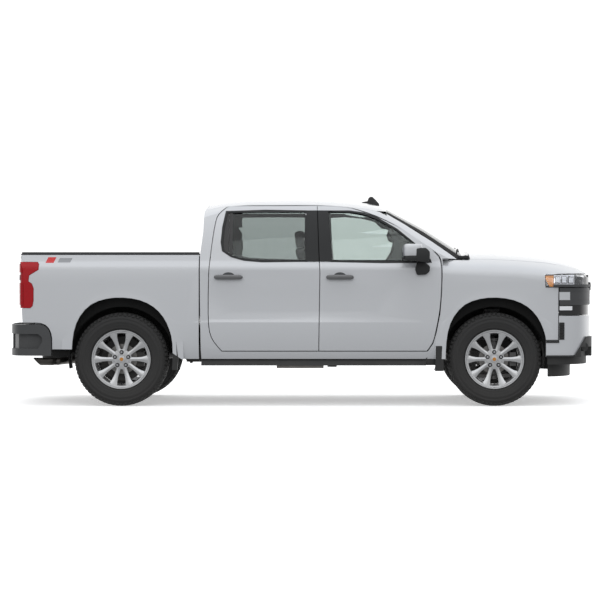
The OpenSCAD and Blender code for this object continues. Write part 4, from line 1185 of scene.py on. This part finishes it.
def stuffed(name, low, high, matrix, material, seams=(), cell=0.014):
    """A padded block: rounded, blown up by cloth under pressure and held along its seams."""
    bm = bmesh.new()
    box(bm, low, high)
    bmesh.ops.bevel(bm, geom=bm.edges[:], offset=PAD_EDGE, offset_type="OFFSET", segments=4, profile=0.5,
                    affect="EDGES", material=-1, clamp_overlap=True)
    data = bpy.data.meshes.new(name)
    bm.to_mesh(data)
    bm.free()
    made = bpy.data.objects.new(name, data)
    bpy.context.scene.collection.objects.link(made)
    remesh = made.modifiers.new("grid", "REMESH")
    remesh.mode = "VOXEL"
    remesh.voxel_size = cell
    apply_modifiers(made)
    held = made.vertex_groups.new(name="held")
    low, high = Vector(low), Vector(high)
    for v in made.data.vertices:
        near = min([abs(v.co[axis] - place) for axis, place in seams] or [1])
        side = min(v.co.y - low.y, high.y - v.co.y)
        if near < cell * 0.6 or abs(side - PAD_EDGE) < cell * 0.55:
            held.add([v.index], 1.0, "ADD")
    rest = [v.co.copy() for v in made.data.vertices]
    cloth = made.modifiers.new("cloth", "CLOTH")
    for key, value in {"quality": 5, "mass": 0.3, "tension_stiffness": 8, "compression_stiffness": 8,
                       "bending_stiffness": 0.6, "use_pressure": True, "uniform_pressure_force": 4,
                       "vertex_group_mass": "held"}.items():
        setattr(cloth.settings, key, value)
    cloth.settings.effector_weights.gravity = 0
    cloth.point_cache.frame_start = 1
    cloth.point_cache.frame_end = 20
    scene = bpy.context.scene
    for step in range(1, 21):
        scene.frame_set(step)
    apply_modifiers(made)
    for v, start in zip(made.data.vertices, rest):
        move = v.co - start
        if move.length > PAD_SWELL:
            v.co = start + move.normalized() * PAD_SWELL
    scene.frame_set(1)
    smooth = made.modifiers.new("smooth", "SUBSURF")
    smooth.levels = smooth.render_levels = 1
    apply_modifiers(made)
    made.data.transform(matrix)
    made.data.materials.append(material)
    for polygon in made.data.polygons:
        polygon.use_smooth = True
    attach(made, "body")
    return made


def apply_modifiers(made):
    """Replaces an object's mesh with what its modifiers make of it."""
    graph = bpy.context.evaluated_depsgraph_get()
    fresh = bpy.data.meshes.new_from_object(made.evaluated_get(graph))
    made.modifiers.clear()
    old = made.data
    made.data = fresh
    bpy.data.meshes.remove(old)


def front_row(cloth):
    """Both front seats on their bases."""
    first = None
    for side, way in SIDES.items():
        at = Matrix.Translation((SEAT_X, way * SEAT_Y, 0))
        lean = Matrix.Translation((0.125, way * SEAT_Y, 0.940)) @ Matrix.Rotation(math.radians(-14), 4, "Y")
        head = Matrix.Translation((-0.020, way * SEAT_Y, 1.496)) @ Matrix.Rotation(math.radians(-8), 4, "Y")
        parts = [
            stuffed(f"seat_cushion_{side}", (-0.225, -0.25, 0.795), (0.285, 0.25, 0.925), at, cloth,
                    ((1, -0.14), (1, 0.14), (0, 0.03))),
            stuffed(f"seat_back_{side}", (-0.065, -0.25, 0.005), (0.055, 0.25, 0.595), lean, cloth,
                    ((1, -0.14), (1, 0.14), (2, 0.33))),
            stuffed(f"headrest_{side}", (-0.048, -0.13, 0.004), (0.048, 0.13, 0.180), head, cloth)]
        first = first or parts[0]
    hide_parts("front_seats")
    posts = bmesh.new()
    for way in (1, -1):
        for y in (-0.06, 0.06):
            rod(posts, (-0.016, way * SEAT_Y + y, 1.44), (-0.022, way * SEAT_Y + y, 1.53), 0.007)
        box(posts, (0.20, way * SEAT_Y - 0.16, 0.586), (0.62, way * SEAT_Y + 0.16, 0.800))
    piece("seat_bases", posts, "body", "interior_plastic", cabin_plastic())


def rear_row(cloth):
    """Rear bench with three headrests."""
    lean = Matrix.Translation((-0.655, 0, 0.940)) @ Matrix.Rotation(math.radians(-12), 4, "Y")
    bench = stuffed("bench_cushion", (-0.635, -0.695, 0.795), (-0.155, 0.695, 0.925), Matrix.Identity(4),
                    cloth, ((1, -0.22), (1, 0.22)), 0.018)
    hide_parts("rear_seat")
    stuffed("bench_back", (-0.055, -0.695, 0.005), (0.045, 0.695, 0.585), lean, cloth,
            ((1, -0.22), (1, 0.22)), 0.018)
    for i, y in enumerate((-0.43, 0.0, 0.43)):
        stuffed(f"bench_headrest_{i}", (-0.816, y - 0.125, 1.538), (-0.730, y + 0.125, 1.684),
                Matrix.Identity(4), cloth)
    piece("bench_base", soft_box((-0.62, -0.64, 0.586), (-0.20, 0.64, 0.800), 0.01),
          "body", "interior_plastic", cabin_plastic())


def dash_details():
    """Screens, vents and the inner mirror."""
    screens = bmesh.new()
    box(screens, (1.098, -0.13, 1.165), (1.112, 0.13, 1.295))
    box(screens, (1.112, 0.28, 1.215), (1.130, 0.53, 1.320))
    soften(screens, 0.004)
    piece("dash_screens", screens, "body", "gloss_black", gloss_black())
    vents = bmesh.new()
    for y in (-0.68, -0.22, 0.21, 0.68):
        for k in range(4):
            box(vents, (1.092, y - 0.055, 1.205 + k * 0.018), (1.112, y + 0.055, 1.211 + k * 0.018))
    piece("dash_vents", vents, "body", "gloss_black", gloss_black())
    inner = bmesh.new()
    box(inner, (0.835, -0.13, 1.765), (0.855, 0.13, 1.830))
    soften(inner, 0.006)
    rod(inner, (0.850, 0, 1.80), (0.905, 0, 1.835), 0.010)
    piece("inner_mirror", inner, "body", "black_plastic", cabin_plastic())


class TRUCK_OT_cabin(bpy.types.Operator):
    """Padded seats, headrests, dashboard details and inner mirror"""

    bl_idname = "truck.cabin"
    bl_label = "Cabin"

    def execute(self, context):
        cloth = seat_cloth()
        front_row(cloth)
        rear_row(cloth)
        dash_details()
        return {"FINISHED"}


# ---- Panel, registration and run ----

STEPS = (TRUCK_OT_stage, TRUCK_OT_panels, TRUCK_OT_wheels, TRUCK_OT_side_trim, TRUCK_OT_mirrors,
         TRUCK_OT_front, TRUCK_OT_rear, TRUCK_OT_cabin)


class TRUCK_PT_sidebar(bpy.types.Panel):
    """Lists the truck's pieces and their settings"""

    bl_idname = "TRUCK_PT_sidebar"
    bl_label = "Pickup truck"
    bl_space_type = "VIEW_3D"
    bl_region_type = "UI"
    bl_category = "Truck"

    def draw(self, context):
        for name in TruckSettings.__annotations__:
            self.layout.prop(context.scene.truck_settings, name)
        for step in STEPS:
            self.layout.operator(step.bl_idname)


CLASSES = (TruckSettings, *STEPS, TRUCK_PT_sidebar)


def register():
    for cls in CLASSES:
        bpy.utils.register_class(cls)
    bpy.types.Scene.truck_settings = PointerProperty(type=TruckSettings)


def unregister():
    del bpy.types.Scene.truck_settings
    for cls in reversed(CLASSES):
        bpy.utils.unregister_class(cls)


def main():
    register()
    for step in STEPS:
        group, name = step.bl_idname.split(".")
        getattr(getattr(bpy.ops, group), name)()


if __name__ == "__main__":
    main()
